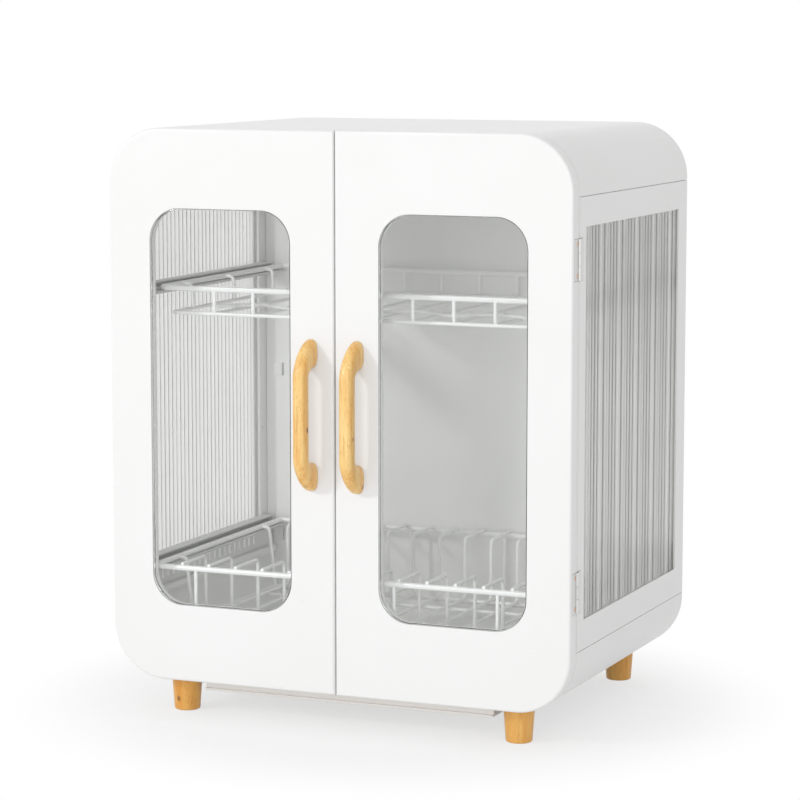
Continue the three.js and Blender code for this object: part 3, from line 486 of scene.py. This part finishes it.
# %% Side frames, rails, runners and other straight pieces
RAIL_FACE = 192 * MM
LEDGE_DROP = 5.8 * MM
CHANNEL_DEPTH = 7.5 * MM
CHANNEL_LIP = 1.2 * MM
CHANNEL_END = 10 * MM
COPY_MERGE = 0.01 * MM
COPY_FLAT = math.radians(1)
FRAME_EDGE = 0.6 * MM
RUNNER_EDGE = 0.3 * MM
RAIL_EDGE = 0.5 * MM
TRAY_EDGE = 0.6 * MM


def softened_copy(node, name, width, material, slot, body, cutters=None):
    """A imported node's own shape with its sharp edges rounded, and cut if cutters are given."""
    bm = bmesh.new()
    bm.from_mesh(nodes[node].data)
    bmesh.ops.remove_doubles(bm, verts=bm.verts, dist=COPY_MERGE)
    bmesh.ops.dissolve_limit(bm, angle_limit=COPY_FLAT, verts=bm.verts, edges=bm.edges)
    sharp = [e for e in bm.edges if len(e.link_faces) == 2 and e.calc_face_angle() > SHARP]
    soften(bm, sharp, width, 2)
    if cutters:
        bm = carve(bm, cutters)
    finish_piece(bm, name, material, slot, body, node)


def rail_channel(node):
    """The undercut along a rail's inner side, between its top edge and its ledge."""
    low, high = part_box(node)
    side = math.copysign(1, low.x)
    near, far = sorted((side * (RAIL_FACE - OVERRUN), side * (RAIL_FACE + CHANNEL_DEPTH)))
    bm = bmesh.new()
    block(bm, (near, low.y + CHANNEL_END, high.z - LEDGE_DROP + FIT),
          (far, high.y - CHANNEL_END, high.z - CHANNEL_LIP))
    return bm


for side in ("right", "left"):
    softened_copy(f"{side}_side_frame", f"{side}_frame", FRAME_EDGE,
                  gloss_white, "white_shell", "cabinet")
    softened_copy(f"{side}_tray_runner", f"{side}_runner", RUNNER_EDGE,
                  bracket_grey, "runner_plastic", "cabinet")
    for level in ("upper", "lower"):
        rail = f"{side}_{level}_rail"
        softened_copy(rail, f"{side}_{level}_rack_rail", RAIL_EDGE,
                      rail_grey, "rail_plastic", "cabinet", rail_channel(rail))
softened_copy("drip_tray", "tray", TRAY_EDGE, tray_white, "tray_plastic", "drip_tray")

# %% [markdown]
# The back panel is a flat sheet with the case's rounded corners. Six clips hold it: their heads
# show as small blocks inside, each with a slit beside it that lets it spring.

# %% Back panel
CLIP_PROUD = 1.5 * MM
CLIP_SIZE = Vector((9, 1.9, 12)) * MM
CLIP_X = 190.5 * MM
CLIP_SPACING = 158.5 * MM
CLIP_EDGE = 0.4 * MM
SLIT_WIDTH = 1.6 * MM
SLIT_DEPTH = 2.5 * MM
SHEET_EDGE = 0.5 * MM
back_low, back_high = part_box("back_panel")
bm = bmesh.new()
flat_face(bm, back_low.y + CLIP_PROUD, (back_low.x, back_low.z), (back_high.x, back_high.z),
          [CORNER - RIM - FIT] * 4)
sheet_depth = back_high.y - back_low.y - CLIP_PROUD
extrude(bm, bm.faces[:], Vector((0, sheet_depth, 0)))
soften(bm, [e for e in bm.edges if e.calc_face_angle(0) > SHARP], SHEET_EDGE)
middle_z = (back_low.z + back_high.z) / 2
clips = [Vector((side * CLIP_X, back_low.y, middle_z + row * CLIP_SPACING))
         for side in (-1, 1) for row in (-1, 0, 1)]
slits = bmesh.new()
slit_reach = Vector((SLIT_WIDTH / 2, SLIT_DEPTH, CLIP_SIZE.z / 2))
for place in clips:
    beside = Vector((-math.copysign((CLIP_SIZE.x + SLIT_WIDTH) / 2, place.x), CLIP_PROUD, 0))
    block(slits, place + beside - slit_reach, place + beside + slit_reach)
bm = carve(bm, slits)
for place in clips:
    centre = place + Vector((0, CLIP_SIZE.y / 2, 0))
    block(bm, centre - CLIP_SIZE / 2, centre + CLIP_SIZE / 2, CLIP_EDGE)
finish_piece(bm, "back_sheet", satin_white, "white_inner", "cabinet", "back_panel")

# %% [markdown]
# A side panel is one sheet of clear plastic whose outer face is moulded into upright flutes. A
# grid is laid over the panel and thickened, and its outer points are moved out. Each flute is
# nearly flat, so the view through it stays clear, and its rounded grooves turn the light. Every
# third groove is deep and the two between differ, which gives the strong and weak lines of the
# real panel.

# %% Fluted side panels
RIB_PITCH = 7.65 * MM
RIB_HEIGHT = 1.6 * MM
RIB_COUNT = 31
RIB_STEPS = 24
GROOVE_WIDTH = 0.8 * MM
GROOVE_DEPTH = 0.7 * MM
DEPTH_SHARES = (1.0, 0.25, 0.5, 0.85, 0.4, 0.2)
CROWN = 0.05 * MM
PANEL_EDGE = 4 * MM


def rib_height(distance):
    """How far the outer face stands out, at a distance along the panel from its first groove."""
    if not 0 <= distance <= RIB_COUNT * RIB_PITCH:
        return 0
    groove = round(distance / RIB_PITCH)
    near = (distance - groove * RIB_PITCH) / GROOVE_WIDTH
    depth = GROOVE_DEPTH * DEPTH_SHARES[groove % len(DEPTH_SHARES)]
    crown = CROWN * (1 - abs(math.sin(math.pi * distance / RIB_PITCH)))
    return RIB_HEIGHT - crown - depth * math.exp(-near * near)


for name, turn in (("right", 1), ("left", -1)):
    low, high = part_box(f"{name}_ribbed_panel")
    outer = max(abs(low.x), abs(high.x)) - RIB_HEIGHT
    inner = min(abs(low.x), abs(high.x))
    first = low.y + PANEL_EDGE
    bm = bmesh.new()
    columns = round((high.y - low.y) / RIB_PITCH * RIB_STEPS)
    place = Matrix.Translation((inner, (low.y + high.y) / 2, (low.z + high.z) / 2))
    upright = Matrix.Rotation(QUARTER, 4, "Y")
    stretch = Matrix.Diagonal((high.z - low.z, high.y - low.y, 1, 1))
    bmesh.ops.create_grid(
        bm, x_segments=1, y_segments=columns, size=0.5, matrix=place @ upright @ stretch)
    extrude(bm, bm.faces[:], Vector((outer - inner, 0, 0)))
    for vert in bm.verts:
        if vert.co.x > (inner + outer) / 2:
            vert.co.x += rib_height(vert.co.y - first)
    if turn < 0:
        bmesh.ops.scale(bm, vec=(-1, 1, 1), verts=bm.verts)
    finish_piece(bm, f"{name}_fluted_panel", fluted_clear, "ribbed_clear", "cabinet",
                 f"{name}_ribbed_panel")

# %% [markdown]
# A door is a shell with a big rounded window hole. Its outline and the hole are two rounded loops
# with triangles filled in between, pushed back to the shell's depth. The front edge has the large
# radius that shows as a bright line down the side of the real door. The lining behind it is the
# same outline, thinner, and flares towards the window. Both have seats cut for the hinges, and
# the lining also for the strike plate and the heads of the handle's screws.

# %% Doors
DOOR_EDGE = 2.5 * MM
DOOR_SEAM_EDGE = 0.3 * MM
LINING_EDGE = 0.8 * MM
LINING_FLARE = 4 * MM
FLANGE = 5 * MM
WINDOW_RADIUS = 28 * MM
SCREW_HEAD = 1.7 * MM


def door_plate(bm, node, y, depth, turn):
    """The door's outline with its window hole, pushed back by a depth. Returns the window's box."""
    low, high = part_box(node)
    pane_low, pane_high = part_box(node.split("_")[0] + "_window")
    outer = (CORNER, 0, 0, CORNER) if turn < 0 else (0, CORNER, CORNER, 0)
    flat_face(bm, y, (low.x, low.z), (high.x, high.z), outer)
    flat_face(bm, y, (pane_low.x + FLANGE, pane_low.z + FLANGE),
              (pane_high.x - FLANGE, pane_high.z - FLANGE), [WINDOW_RADIUS] * 4)
    bmesh.ops.delete(bm, geom=bm.faces[:], context="FACES_ONLY")
    bmesh.ops.triangle_fill(bm, edges=bm.edges[:], use_beauty=True)
    extrude(bm, bm.faces[:], Vector((0, depth, 0)))
    return pane_low, pane_high


def edges_at(bm, y, window, inside):
    """The sharp edges at one depth, round the window hole or round the door."""
    low, high = window
    found = []
    for edge in bm.edges:
        middle = (edge.verts[0].co + edge.verts[1].co) / 2
        in_window = low.x < middle.x < high.x and low.z < middle.z < high.z
        level = all(abs(v.co.y - y) < LEVEL for v in edge.verts)
        if level and edge.calc_face_angle(0) > SHARP and in_window == inside:
            found.append(edge)
    return found


def hinge_seats(name):
    """The two recesses in a door's edge that its hinge leaves lie in."""
    seats = bmesh.new()
    room = Vector((FIT, FIT, FIT))
    for level in ("upper", "lower"):
        low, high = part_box(f"{name}_{level}_door_leaf")
        near, far = low - room, high + room
        far.y += OVERRUN
        if low.x > 0:
            far.x += OVERRUN
        else:
            near.x -= OVERRUN
        block(seats, near, far)
    return seats


def lining_seats(name):
    """The recesses in a door's lining: for its hinge leaves, strike plate and screw heads."""
    seats = hinge_seats(name)
    low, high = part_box(f"{name}_strike_plate")
    block(seats, (low.x - FIT, low.y - FIT, low.z - FIT),
          (high.x + FIT, high.y + OVERRUN, high.z + FIT))
    for number in (1, 2):
        low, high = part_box(f"{name}_handle_screw_{number}")
        radius = (high.x - low.x) / 2 + FIT
        depth = SCREW_HEAD + FIT + OVERRUN
        place = (low + high) / 2
        place.y = high.y + OVERRUN - depth / 2
        bmesh.ops.create_cone(
            seats, cap_ends=True, segments=32, radius1=radius, radius2=radius, depth=depth,
            matrix=Matrix.Translation(place) @ Matrix.Rotation(QUARTER, 4, "X"))
    return seats


for name, turn in (("right", 1), ("left", -1)):
    low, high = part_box(f"{name}_door_shell")
    bm = bmesh.new()
    window = door_plate(bm, f"{name}_door_shell", low.y, high.y - low.y, turn)
    soften(bm, edges_at(bm, low.y, window, False), DOOR_EDGE, 5)
    soften(bm, edges_at(bm, low.y, window, True), DOOR_SEAM_EDGE, 2)
    soften(bm, edges_at(bm, high.y, window, False), DOOR_SEAM_EDGE, 1)
    bm = carve(bm, hinge_seats(name))
    finish_piece(bm, f"{name}_door", gloss_white, "white_shell", f"{name}_door",
                 f"{name}_door_shell")
    front, rear = high.y + FIT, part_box(f"{name}_door_inner_frame")[1].y
    bm = bmesh.new()
    window = door_plate(bm, f"{name}_door_inner_frame", front, rear - front, turn)
    soften(bm, edges_at(bm, rear, window, False), LINING_EDGE, 3)
    soften(bm, edges_at(bm, rear, window, True), LINING_FLARE, 4)
    bm = carve(bm, lining_seats(name))
    finish_piece(bm, f"{name}_door_lining", satin_white, "white_inner", f"{name}_door",
                 f"{name}_door_inner_frame")

# %% [markdown]
# Each window is a thick pane of clear acrylic with a polished chamfer round its front, which
# shows as a light line inside the thin dark gap.

# %% Windows
PANE_GAP = 0.6 * MM
PANE_CHAMFER = 0.5 * MM
PANE_REAR_EDGE = 0.4 * MM

for name in ("right", "left"):
    low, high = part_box(f"{name}_window")
    inset = FLANGE + PANE_GAP
    bm = bmesh.new()
    flat_face(bm, low.y, (low.x + inset, low.z + inset), (high.x - inset, high.z - inset),
              [WINDOW_RADIUS - PANE_GAP] * 4)
    extrude(bm, bm.faces[:], Vector((0, high.y - low.y, 0)))
    soften(bm, edges_at(bm, low.y, (low, high), True), PANE_CHAMFER, 2)
    soften(bm, edges_at(bm, high.y, (low, high), True), PANE_REAR_EDGE, 1)
    finish_piece(bm, f"{name}_pane", clear_acrylic, "clear_pane", f"{name}_door", f"{name}_window")

# %% [markdown]
# A handle is one bow of wood. Its two feet are deep and sweep into a round grip. Half of it is
# a ring of points, extruded in steps from the foot to the middle and scaled and turned at each
# step, so that its outer and inner sides follow two quarter ellipses. The other half is a mirror.

# %% Handles
HANDLE_STEPS = 14
SHOULDER = 30 * MM
GRIP = 12.6 * MM
FOOT_LENGTH = 24 * MM
INNER_DROP = SHOULDER - FOOT_LENGTH
BEND_POWER = 1.2
SQUARENESS = 0.72


def handle_ring(low, high, share):
    """The matrix that lays a unit ring across the handle, at a share of the way round its bend."""
    angle = share * QUARTER
    out, up = math.sin(angle) ** BEND_POWER, math.cos(angle) ** BEND_POWER
    reach = high.y - low.y
    outer = Vector((0, high.y - reach * out, high.z - SHOULDER + SHOULDER * up))
    inner = Vector((0, high.y - (reach - GRIP) * out, high.z - SHOULDER + INNER_DROP * up))
    across = (outer - inner) / 2
    along = Vector((1, 0, 0)).cross(across).normalized()
    width = (high.x - low.x) / 2
    shape = Matrix((Vector((width, 0, 0)), across, along)).transposed()
    centre = (inner + outer) / 2 + Vector(((low.x + high.x) / 2, 0, 0))
    return Matrix.Translation(centre) @ shape.to_4x4()


for name in ("right", "left"):
    low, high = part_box(f"{name}_handle")
    bm = bmesh.new()
    bmesh.ops.create_circle(bm, cap_ends=True, segments=32, radius=1.0)
    for vert in bm.verts:
        vert.co = [math.copysign(abs(share) ** SQUARENESS, share) for share in vert.co]
    before = handle_ring(low, high, 0)
    bmesh.ops.transform(bm, matrix=before, verts=bm.verts)
    end = bm.faces[:]
    for step in range(1, HANDLE_STEPS + 1):
        after = handle_ring(low, high, step / HANDLE_STEPS)
        end = extrude(bm, end, Vector((0, 0, 0)))
        bmesh.ops.transform(bm, matrix=after @ before.inverted(), verts=end[0].verts[:])
        before = after
    middle = (low.z + high.z) / 2
    grip_end = end[0].calc_center_median().z
    end = extrude(bm, end, Vector((0, 0, middle - grip_end)))
    bmesh.ops.delete(bm, geom=end, context="FACES_ONLY")
    bmesh.ops.translate(bm, vec=(0, 0, -middle), verts=bm.verts)
    bmesh.ops.mirror(bm, geom=[*bm.verts, *bm.edges, *bm.faces], merge_dist=LEVEL, axis="Z")
    bmesh.ops.translate(bm, vec=(0, 0, middle), verts=bm.verts)
    finish_piece(bm, f"{name}_wood_handle", handle_wood, "beech", f"{name}_door", f"{name}_handle")

# %% [markdown]
# The feet are turned on a lathe, so each is a profile spun round its axis: a narrow bottom with
# a rounded edge, and a straight taper up to the case.

# %% Feet
FOOT_TAPER = 2.1 * MM
FOOT_EDGE = 1.5 * MM

for corner in ("front_left", "front_right", "rear_left", "rear_right"):
    low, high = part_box(f"{corner}_foot")
    centre = Vector(((low.x + high.x) / 2, (low.y + high.y) / 2, 0))
    top_radius = (high.x - low.x) / 2
    bottom_radius = top_radius - FOOT_TAPER
    profile = [(0, low.z), (bottom_radius, low.z), (top_radius, high.z), (0, high.z)]
    bm = bmesh.new()
    verts = [bm.verts.new(centre + Vector((r, 0, z))) for r, z in profile]
    for pair in zip(verts, verts[1:]):
        bm.edges.new(pair)
    bmesh.ops.bevel(bm, geom=[verts[1]], offset=FOOT_EDGE, segments=4, profile=0.5,
                    affect="VERTICES", material=-1)
    bmesh.ops.spin(bm, geom=[*bm.verts, *bm.edges], cent=centre, axis=(0, 0, 1),
                   angle=4 * QUARTER, steps=48, use_merge=True)
    finish_piece(bm, f"{corner}_wood_foot", foot_wood, "beech", "cabinet", f"{corner}_foot")

# %% [markdown]
# A rack is bent and welded wire. Each wire is a curve through its corner points with a short arc
# at every bend, given a round section, and all the wires of a rack are then one mesh. A wire's
# thickness is written as its radius.

# %% Wire helpers
WIRE = 1.6 * MM
RIM_WIRE = 2.5 * MM
RIM_BEND = 6 * MM
WIRE_BEND = 5 * MM
HANGER_BEND = 3 * MM
BEND_STEPS = 5
STRAIGHT = QUARTER - 0.01  # a corner whose half angle is wider than this needs no arc


def bent(points, radius):
    """The path of a wire: its end points, and an arc of that radius at each corner between."""
    points = [Vector(p) for p in points]
    path = [points[0]]
    for before, corner, after in zip(points, points[1:], points[2:]):
        back, on = (before - corner).normalized(), (after - corner).normalized()
        half = back.angle(on) / 2
        if half > STRAIGHT:
            path.append(corner)
            continue
        reach = radius / math.tan(half)
        centre = corner + (back + on).normalized() * radius / math.sin(half)
        start, stop = corner + back * reach - centre, corner + on * reach - centre
        for step in range(BEND_STEPS + 1):
            path.append(centre + start.lerp(stop, step / BEND_STEPS).normalized() * radius)
    return path + [points[-1]]


def wires_to_piece(name, wires, node):
    """One piece from a list of (corner points, wire radius, bend radius)."""
    bm = bmesh.new()
    for points, radius, bend in wires:
        curve = bpy.data.curves.new(name, "CURVE")
        curve.dimensions = "3D"
        curve.bevel_depth = radius
        curve.bevel_resolution = 2
        curve.use_fill_caps = True
        path = bent(points, bend)
        spline = curve.splines.new("POLY")
        spline.points.add(len(path) - 1)
        for point, place in zip(spline.points, path):
            point.co = (*place, 1)
        holder = bpy.data.objects.new(name, curve)
        bpy.context.scene.collection.objects.link(holder)
        bpy.context.view_layer.update()
        shaped = holder.evaluated_get(bpy.context.evaluated_depsgraph_get())
        tube = bpy.data.meshes.new_from_object(shaped)
        bm.from_mesh(tube)
        bpy.data.objects.remove(holder)
        bpy.data.curves.remove(curve)
        bpy.data.meshes.remove(tube)
    finish_piece(bm, name, wire_coating, "coated_wire", "cabinet", node)


def spread(count, pitch, middle=0.0):
    """Evenly spaced places on both sides of a middle."""
    return [middle + (i - (count - 1) / 2) * pitch for i in range(count)]


def frame_wires(x, front, rear, z, radius):
    """A rectangle of wire lying level: one bent piece, closed by a straight one at the rear."""
    return [([(-x, rear, z), (-x, front, z), (x, front, z), (x, rear, z)], radius, RIM_BEND),
            ([(-x, rear, z), (x, rear, z)], radius, RIM_BEND)]


def hangers(places, rim, shoulder_x, foot):
    """At each place and on both sides, a wire in from the rim and down past the rail to its foot.
    The rim and the foot are (x, z) of the right side."""
    return [([(side * rim[0], y, rim[1]), (side * shoulder_x, y, rim[1]),
              (side * foot[0], y, foot[1])], WIRE, HANGER_BEND)
            for y in places for side in (-1, 1)]


# %% Upper rack
BOWL_PITCH = 36.9 * MM
BOWL_BASE_INSET = 10.5 * MM
HANGER_INSET = 6 * MM
ZIGZAG_INSET = 34 * MM
ZIGZAG_DEPTH = 30 * MM
low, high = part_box("upper_rack")
rim_x = high.x - RIM_WIRE
rim_z = high.z - RIM_WIRE
front, rear = low.y + RIM_WIRE, high.y - RIM_WIRE
base_z = low.z + WIRE
base_x = rim_x - BOWL_BASE_INSET
shoulder_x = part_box("right_upper_rail")[0].x - HANGER_INSET
wires = frame_wires(rim_x, front, rear, rim_z, RIM_WIRE)
wires += frame_wires(base_x, front, rear, base_z, WIRE)
for x in spread(8, BOWL_PITCH):
    wires.append(([(x, front, rim_z), (x, front, base_z),
                   (x, rear, base_z), (x, rear, rim_z)], WIRE, WIRE_BEND))
wires += hangers(spread(3, (rear - front) / 3, (front + rear) / 2),
                 (rim_x, rim_z), shoulder_x, (base_x, base_z))
for start in (front + ZIGZAG_INSET, rear - ZIGZAG_INSET - ZIGZAG_DEPTH):
    turns = [(x, start + i % 2 * ZIGZAG_DEPTH, base_z + 2 * WIRE)
             for i, x in enumerate(spread(9, BOWL_PITCH))]
    wires.append((turns, WIRE, WIRE_BEND))
wires_to_piece("bowl_rack", wires, "upper_rack")

# %% Lower rack
PLATE_PITCH = 25.4 * MM
PLATE_BASE_INSET = 45 * MM
STRUT_PITCH = 92.9 * MM
WELD = 0.8 * MM  # how far two crossing wires sink into each other
low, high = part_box("lower_rack")
rim_x = high.x - RIM_WIRE
front, rear = low.y + RIM_WIRE, high.y - RIM_WIRE
top_z = high.z - WIRE
rim_z = top_z - WIRE - RIM_WIRE + WELD
floor_z = low.z + WIRE
base_z = floor_z + 2 * WIRE - WELD
near, far = front + PLATE_BASE_INSET, rear - PLATE_BASE_INSET
base_x = 6.5 * PLATE_PITCH
wires = frame_wires(rim_x, front, rear, rim_z, RIM_WIRE)
wires += frame_wires(base_x, near, far, floor_z, WIRE)
for x in spread(13, PLATE_PITCH):
    wires.append(([(x, front, top_z), (x, near, top_z), (x, near, base_z),
                   (x, far, base_z), (x, far, top_z), (x, rear, top_z)], WIRE, WIRE_BEND))
for y in spread(2, (far - near) / 2, (near + far) / 2):
    wires.append(([(-base_x, y, floor_z), (base_x, y, floor_z)], WIRE, WIRE_BEND))
for x in spread(4, STRUT_PITCH):
    for rim_y, base_y in ((front, near), (rear, far)):
        wires.append(([(x, rim_y, rim_z), (x, rim_y, floor_z), (x, base_y, floor_z)],
                      WIRE, WIRE_BEND))
wires += hangers((near, far), (rim_x, rim_z), shoulder_x, (base_x, floor_z))
wires_to_piece("plate_rack", wires, "lower_rack")

# %% [markdown]
# The floor pan is made as the case is: a wall section pushed out, spun round the corner and
# pushed up. Its two low ends are rounded faces cut level. A bead runs along each side, and a
# Boolean cuts the vent slits and the drain hole.

# %% Floor pan
PAN_WALL = 2.5 * MM
PAN_CORNER = 36 * MM
PAN_END = 14 * MM
PAN_STEPS = 20
low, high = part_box("floor_pan")
turn_centre = Vector((high.x - PAN_CORNER, 0, low.z + PAN_CORNER))
bm = bmesh.new()
corners = [bm.verts.new((0, y, z)) for y, z in (
    (low.y, low.z), (high.y, low.z), (high.y, low.z + PAN_WALL), (low.y, low.z + PAN_WALL))]
bm.faces.new(corners)
reached = extrude(bm, bm.faces[:], Vector((turn_centre.x, 0, 0)))[0]
turned = bmesh.ops.spin(bm, geom=[reached, *reached.edges, *reached.verts], cent=turn_centre,
                        axis=(0, 1, 0), angle=-QUARTER, steps=PAN_STEPS)["geom_last"]
reached = [g for g in turned if isinstance(g, bmesh.types.BMFace)]
extrude(bm, reached, Vector((0, 0, high.z - turn_centre.z)))
mirror_left(bm)
inset = PAN_WALL / 2
for y in (low.y, high.y - PAN_WALL):
    end = bmesh.new()
    flat_face(end, y, (low.x + inset, low.z + inset), (high.x - inset, high.z + PAN_CORNER),
              [PAN_CORNER - inset] * 4, PAN_STEPS)
    bmesh.ops.bisect_plane(end, geom=[*end.verts, *end.edges, *end.faces],
                           plane_co=(0, 0, low.z + PAN_END), plane_no=(0, 0, 1), clear_outer=True)
    extrude(end, end.faces[:], Vector((0, PAN_WALL, 0)))
    plate = bpy.data.meshes.new("pan end")
    end.to_mesh(plate)
    end.free()
    bm.from_mesh(plate)
    bpy.data.meshes.remove(plate)
print("pan shaped,", len(bm.faces), "faces")

# %% Beads, vents and drain of the pan
BEAD_WIDTH = 6 * MM
BEAD_HEIGHT = 8 * MM
BEAD_TOP = 101 * MM
BEAD_EDGE = 2.8 * MM
VENT_PITCH = 10.3 * MM
VENT_WIDTH = 3 * MM
VENT_HEIGHT = 9 * MM
VENT_DROP = 3 * MM
VENT_CUTTER = 10 * MM
DRAIN_RADIUS = 7 * MM
DRAIN_Y = 21.45 * MM
DRAIN_CUTTER = 20 * MM
for side in (-1, 1):
    wall_face = side * (high.x - PAN_WALL)
    near, far = sorted((wall_face, wall_face - side * BEAD_WIDTH))
    block(bm, (near, low.y, BEAD_TOP - BEAD_HEIGHT), (far, high.y, BEAD_TOP), BEAD_EDGE)
vent_top = high.z - VENT_DROP
vents = bmesh.new()
for middle in spread(20, VENT_PITCH, (low.y + high.y) / 2):
    for wall in (-high.x, high.x):
        block(vents,
              (wall - VENT_CUTTER / 2, middle - VENT_WIDTH / 2, vent_top - VENT_HEIGHT),
              (wall + VENT_CUTTER / 2, middle + VENT_WIDTH / 2, vent_top))
bmesh.ops.create_cone(
    vents, cap_ends=True, segments=40, radius1=DRAIN_RADIUS, radius2=DRAIN_RADIUS,
    depth=DRAIN_CUTTER, matrix=Matrix.Translation((0, DRAIN_Y, low.z)))
bm = carve(bm, vents)
finish_piece(bm, "drain_pan", satin_white, "white_inner", "cabinet", "floor_pan")

# %% [markdown]
# The hinges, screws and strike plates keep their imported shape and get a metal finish. The catch
# is a block of the same dark nylon as the tray's runners.

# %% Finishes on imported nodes
ZINC_PIECES = ("_leaf", "hinge_pin", "strike_plate", "handle_screw", "foot_screw")


def dress(node, material):
    """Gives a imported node's material slots a new finish."""
    mesh = nodes[node].data
    mesh.materials.clear()
    mesh.materials.append(material)


for name in nodes:
    if any(kind in name for kind in ZINC_PIECES):
        dress(name, zinc)
    if "hinge_screw" in name:
        dress(name, copper)
dress("door_catch", bracket_grey)
print("packed nodes dressed")

# %% [markdown]
# The studio is a white floor under a soft lamp at the front left and a weak, wide one in front,
# which lights the inside through the windows. An even pale sky fills the rest. The camera, mirrors
# and clear plastic see pure white in its place. Near the cabinet more than a third of the floor
# that they see is plain white paint, which keeps the shadow. Further out it fades to the pure
# white, so that no edge shows.

# %% Floor
FADE_START = 0.2
FADE_END = 0.36
NEAR_WHITE = 0.62
FLOOR_REACH = 20.0


def white_seeing_rays(tree):
    """1 for rays that see the studio as pure white, and 0 for those that gather its light."""
    ray = add(tree, "ShaderNodeLightPath")
    seen = ray.outputs["Is Camera Ray"]
    for kind in ("Is Glossy Ray", "Is Transmission Ray"):
        either = add(tree, "ShaderNodeMath", {0: seen, 1: ray.outputs[kind]}, operation="MAXIMUM")
        seen = either.outputs[0]
    return seen


def studio_floor():
    material, tree, place = new_material("studio floor")
    grain = add(tree, "ShaderNodeTexNoise", {
        "Vector": place, "Scale": 1 / (25 * MM), "Detail": 2.0})
    tone = add(tree, "ShaderNodeMix", {
        0: grain.outputs["Fac"], 6: linear("#F4F4F4"), 7: linear("#F9F9F9")}, data_type="RGBA")
    paint = add(tree, "ShaderNodeBsdfDiffuse", {"Color": tone.outputs[2]})
    white = add(tree, "ShaderNodeEmission", {"Color": linear("#FFFFFF"), "Strength": 1.0})
    distance = add(tree, "ShaderNodeVectorMath", {0: place}, operation="LENGTH")
    fade = add(tree, "ShaderNodeMapRange", {
        "Value": distance.outputs["Value"], "From Min": FADE_START, "From Max": FADE_END,
        "To Min": NEAR_WHITE}, interpolation_type="SMOOTHSTEP")
    share = add(tree, "ShaderNodeMath", {
        0: white_seeing_rays(tree), 1: fade.outputs["Result"]}, operation="MULTIPLY")
    both = add(tree, "ShaderNodeMixShader", {
        0: share.outputs[0], 1: paint.outputs["BSDF"], 2: white.outputs["Emission"]})
    add(tree, "ShaderNodeOutputMaterial", {"Surface": both.outputs["Shader"]})
    return material


bm = bmesh.new()
bmesh.ops.create_grid(bm, x_segments=1, y_segments=1, size=FLOOR_REACH)
floor_mesh = bpy.data.meshes.new("floor")
bm.to_mesh(floor_mesh)
bm.free()
floor_mesh.materials.append(studio_floor())
floor = bpy.data.objects.new("floor", floor_mesh)
bpy.context.scene.collection.objects.link(floor)
floor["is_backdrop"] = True
print("floor laid,", 2 * FLOOR_REACH, "m wide")

# %% Sky and lamps
SKY_STRENGTH = 0.66
LAMP_TARGET = Vector((0, 0, 270)) * MM
world = bpy.data.worlds.new("studio")
world.use_nodes = True
bpy.context.scene.world = world
tree = world.node_tree
tree.nodes.clear()
sky = add(tree, "ShaderNodeBackground", {"Color": linear("#FFFFFF"), "Strength": SKY_STRENGTH})
white = add(tree, "ShaderNodeBackground", {"Color": linear("#FFFFFF"), "Strength": 1.0})
both = add(tree, "ShaderNodeMixShader", {
    0: white_seeing_rays(tree), 1: sky.outputs["Background"], 2: white.outputs["Background"]})
add(tree, "ShaderNodeOutputWorld", {"Surface": both.outputs["Shader"]})


def soft_lamp(name, place, size, power):
    """A square lamp, in metres and watts, turned to the middle of the cabinet."""
    lamp = bpy.data.objects.new(name, bpy.data.lights.new(name, "AREA"))
    lamp.data.size = size
    lamp.data.energy = power
    lamp.location = place
    lamp.rotation_euler = (LAMP_TARGET - Vector(place)).to_track_quat("-Z", "Y").to_euler()
    bpy.context.scene.collection.objects.link(lamp)


soft_lamp("key", (-2.64, -3.15, 2.07), 0.45, 41)
soft_lamp("front fill", (0.5, -3.4, 0.75), 1.4, 22)
print("studio made")

# %% Size of the dressed cabinet
low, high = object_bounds()
print("visual box in metres", low, high)
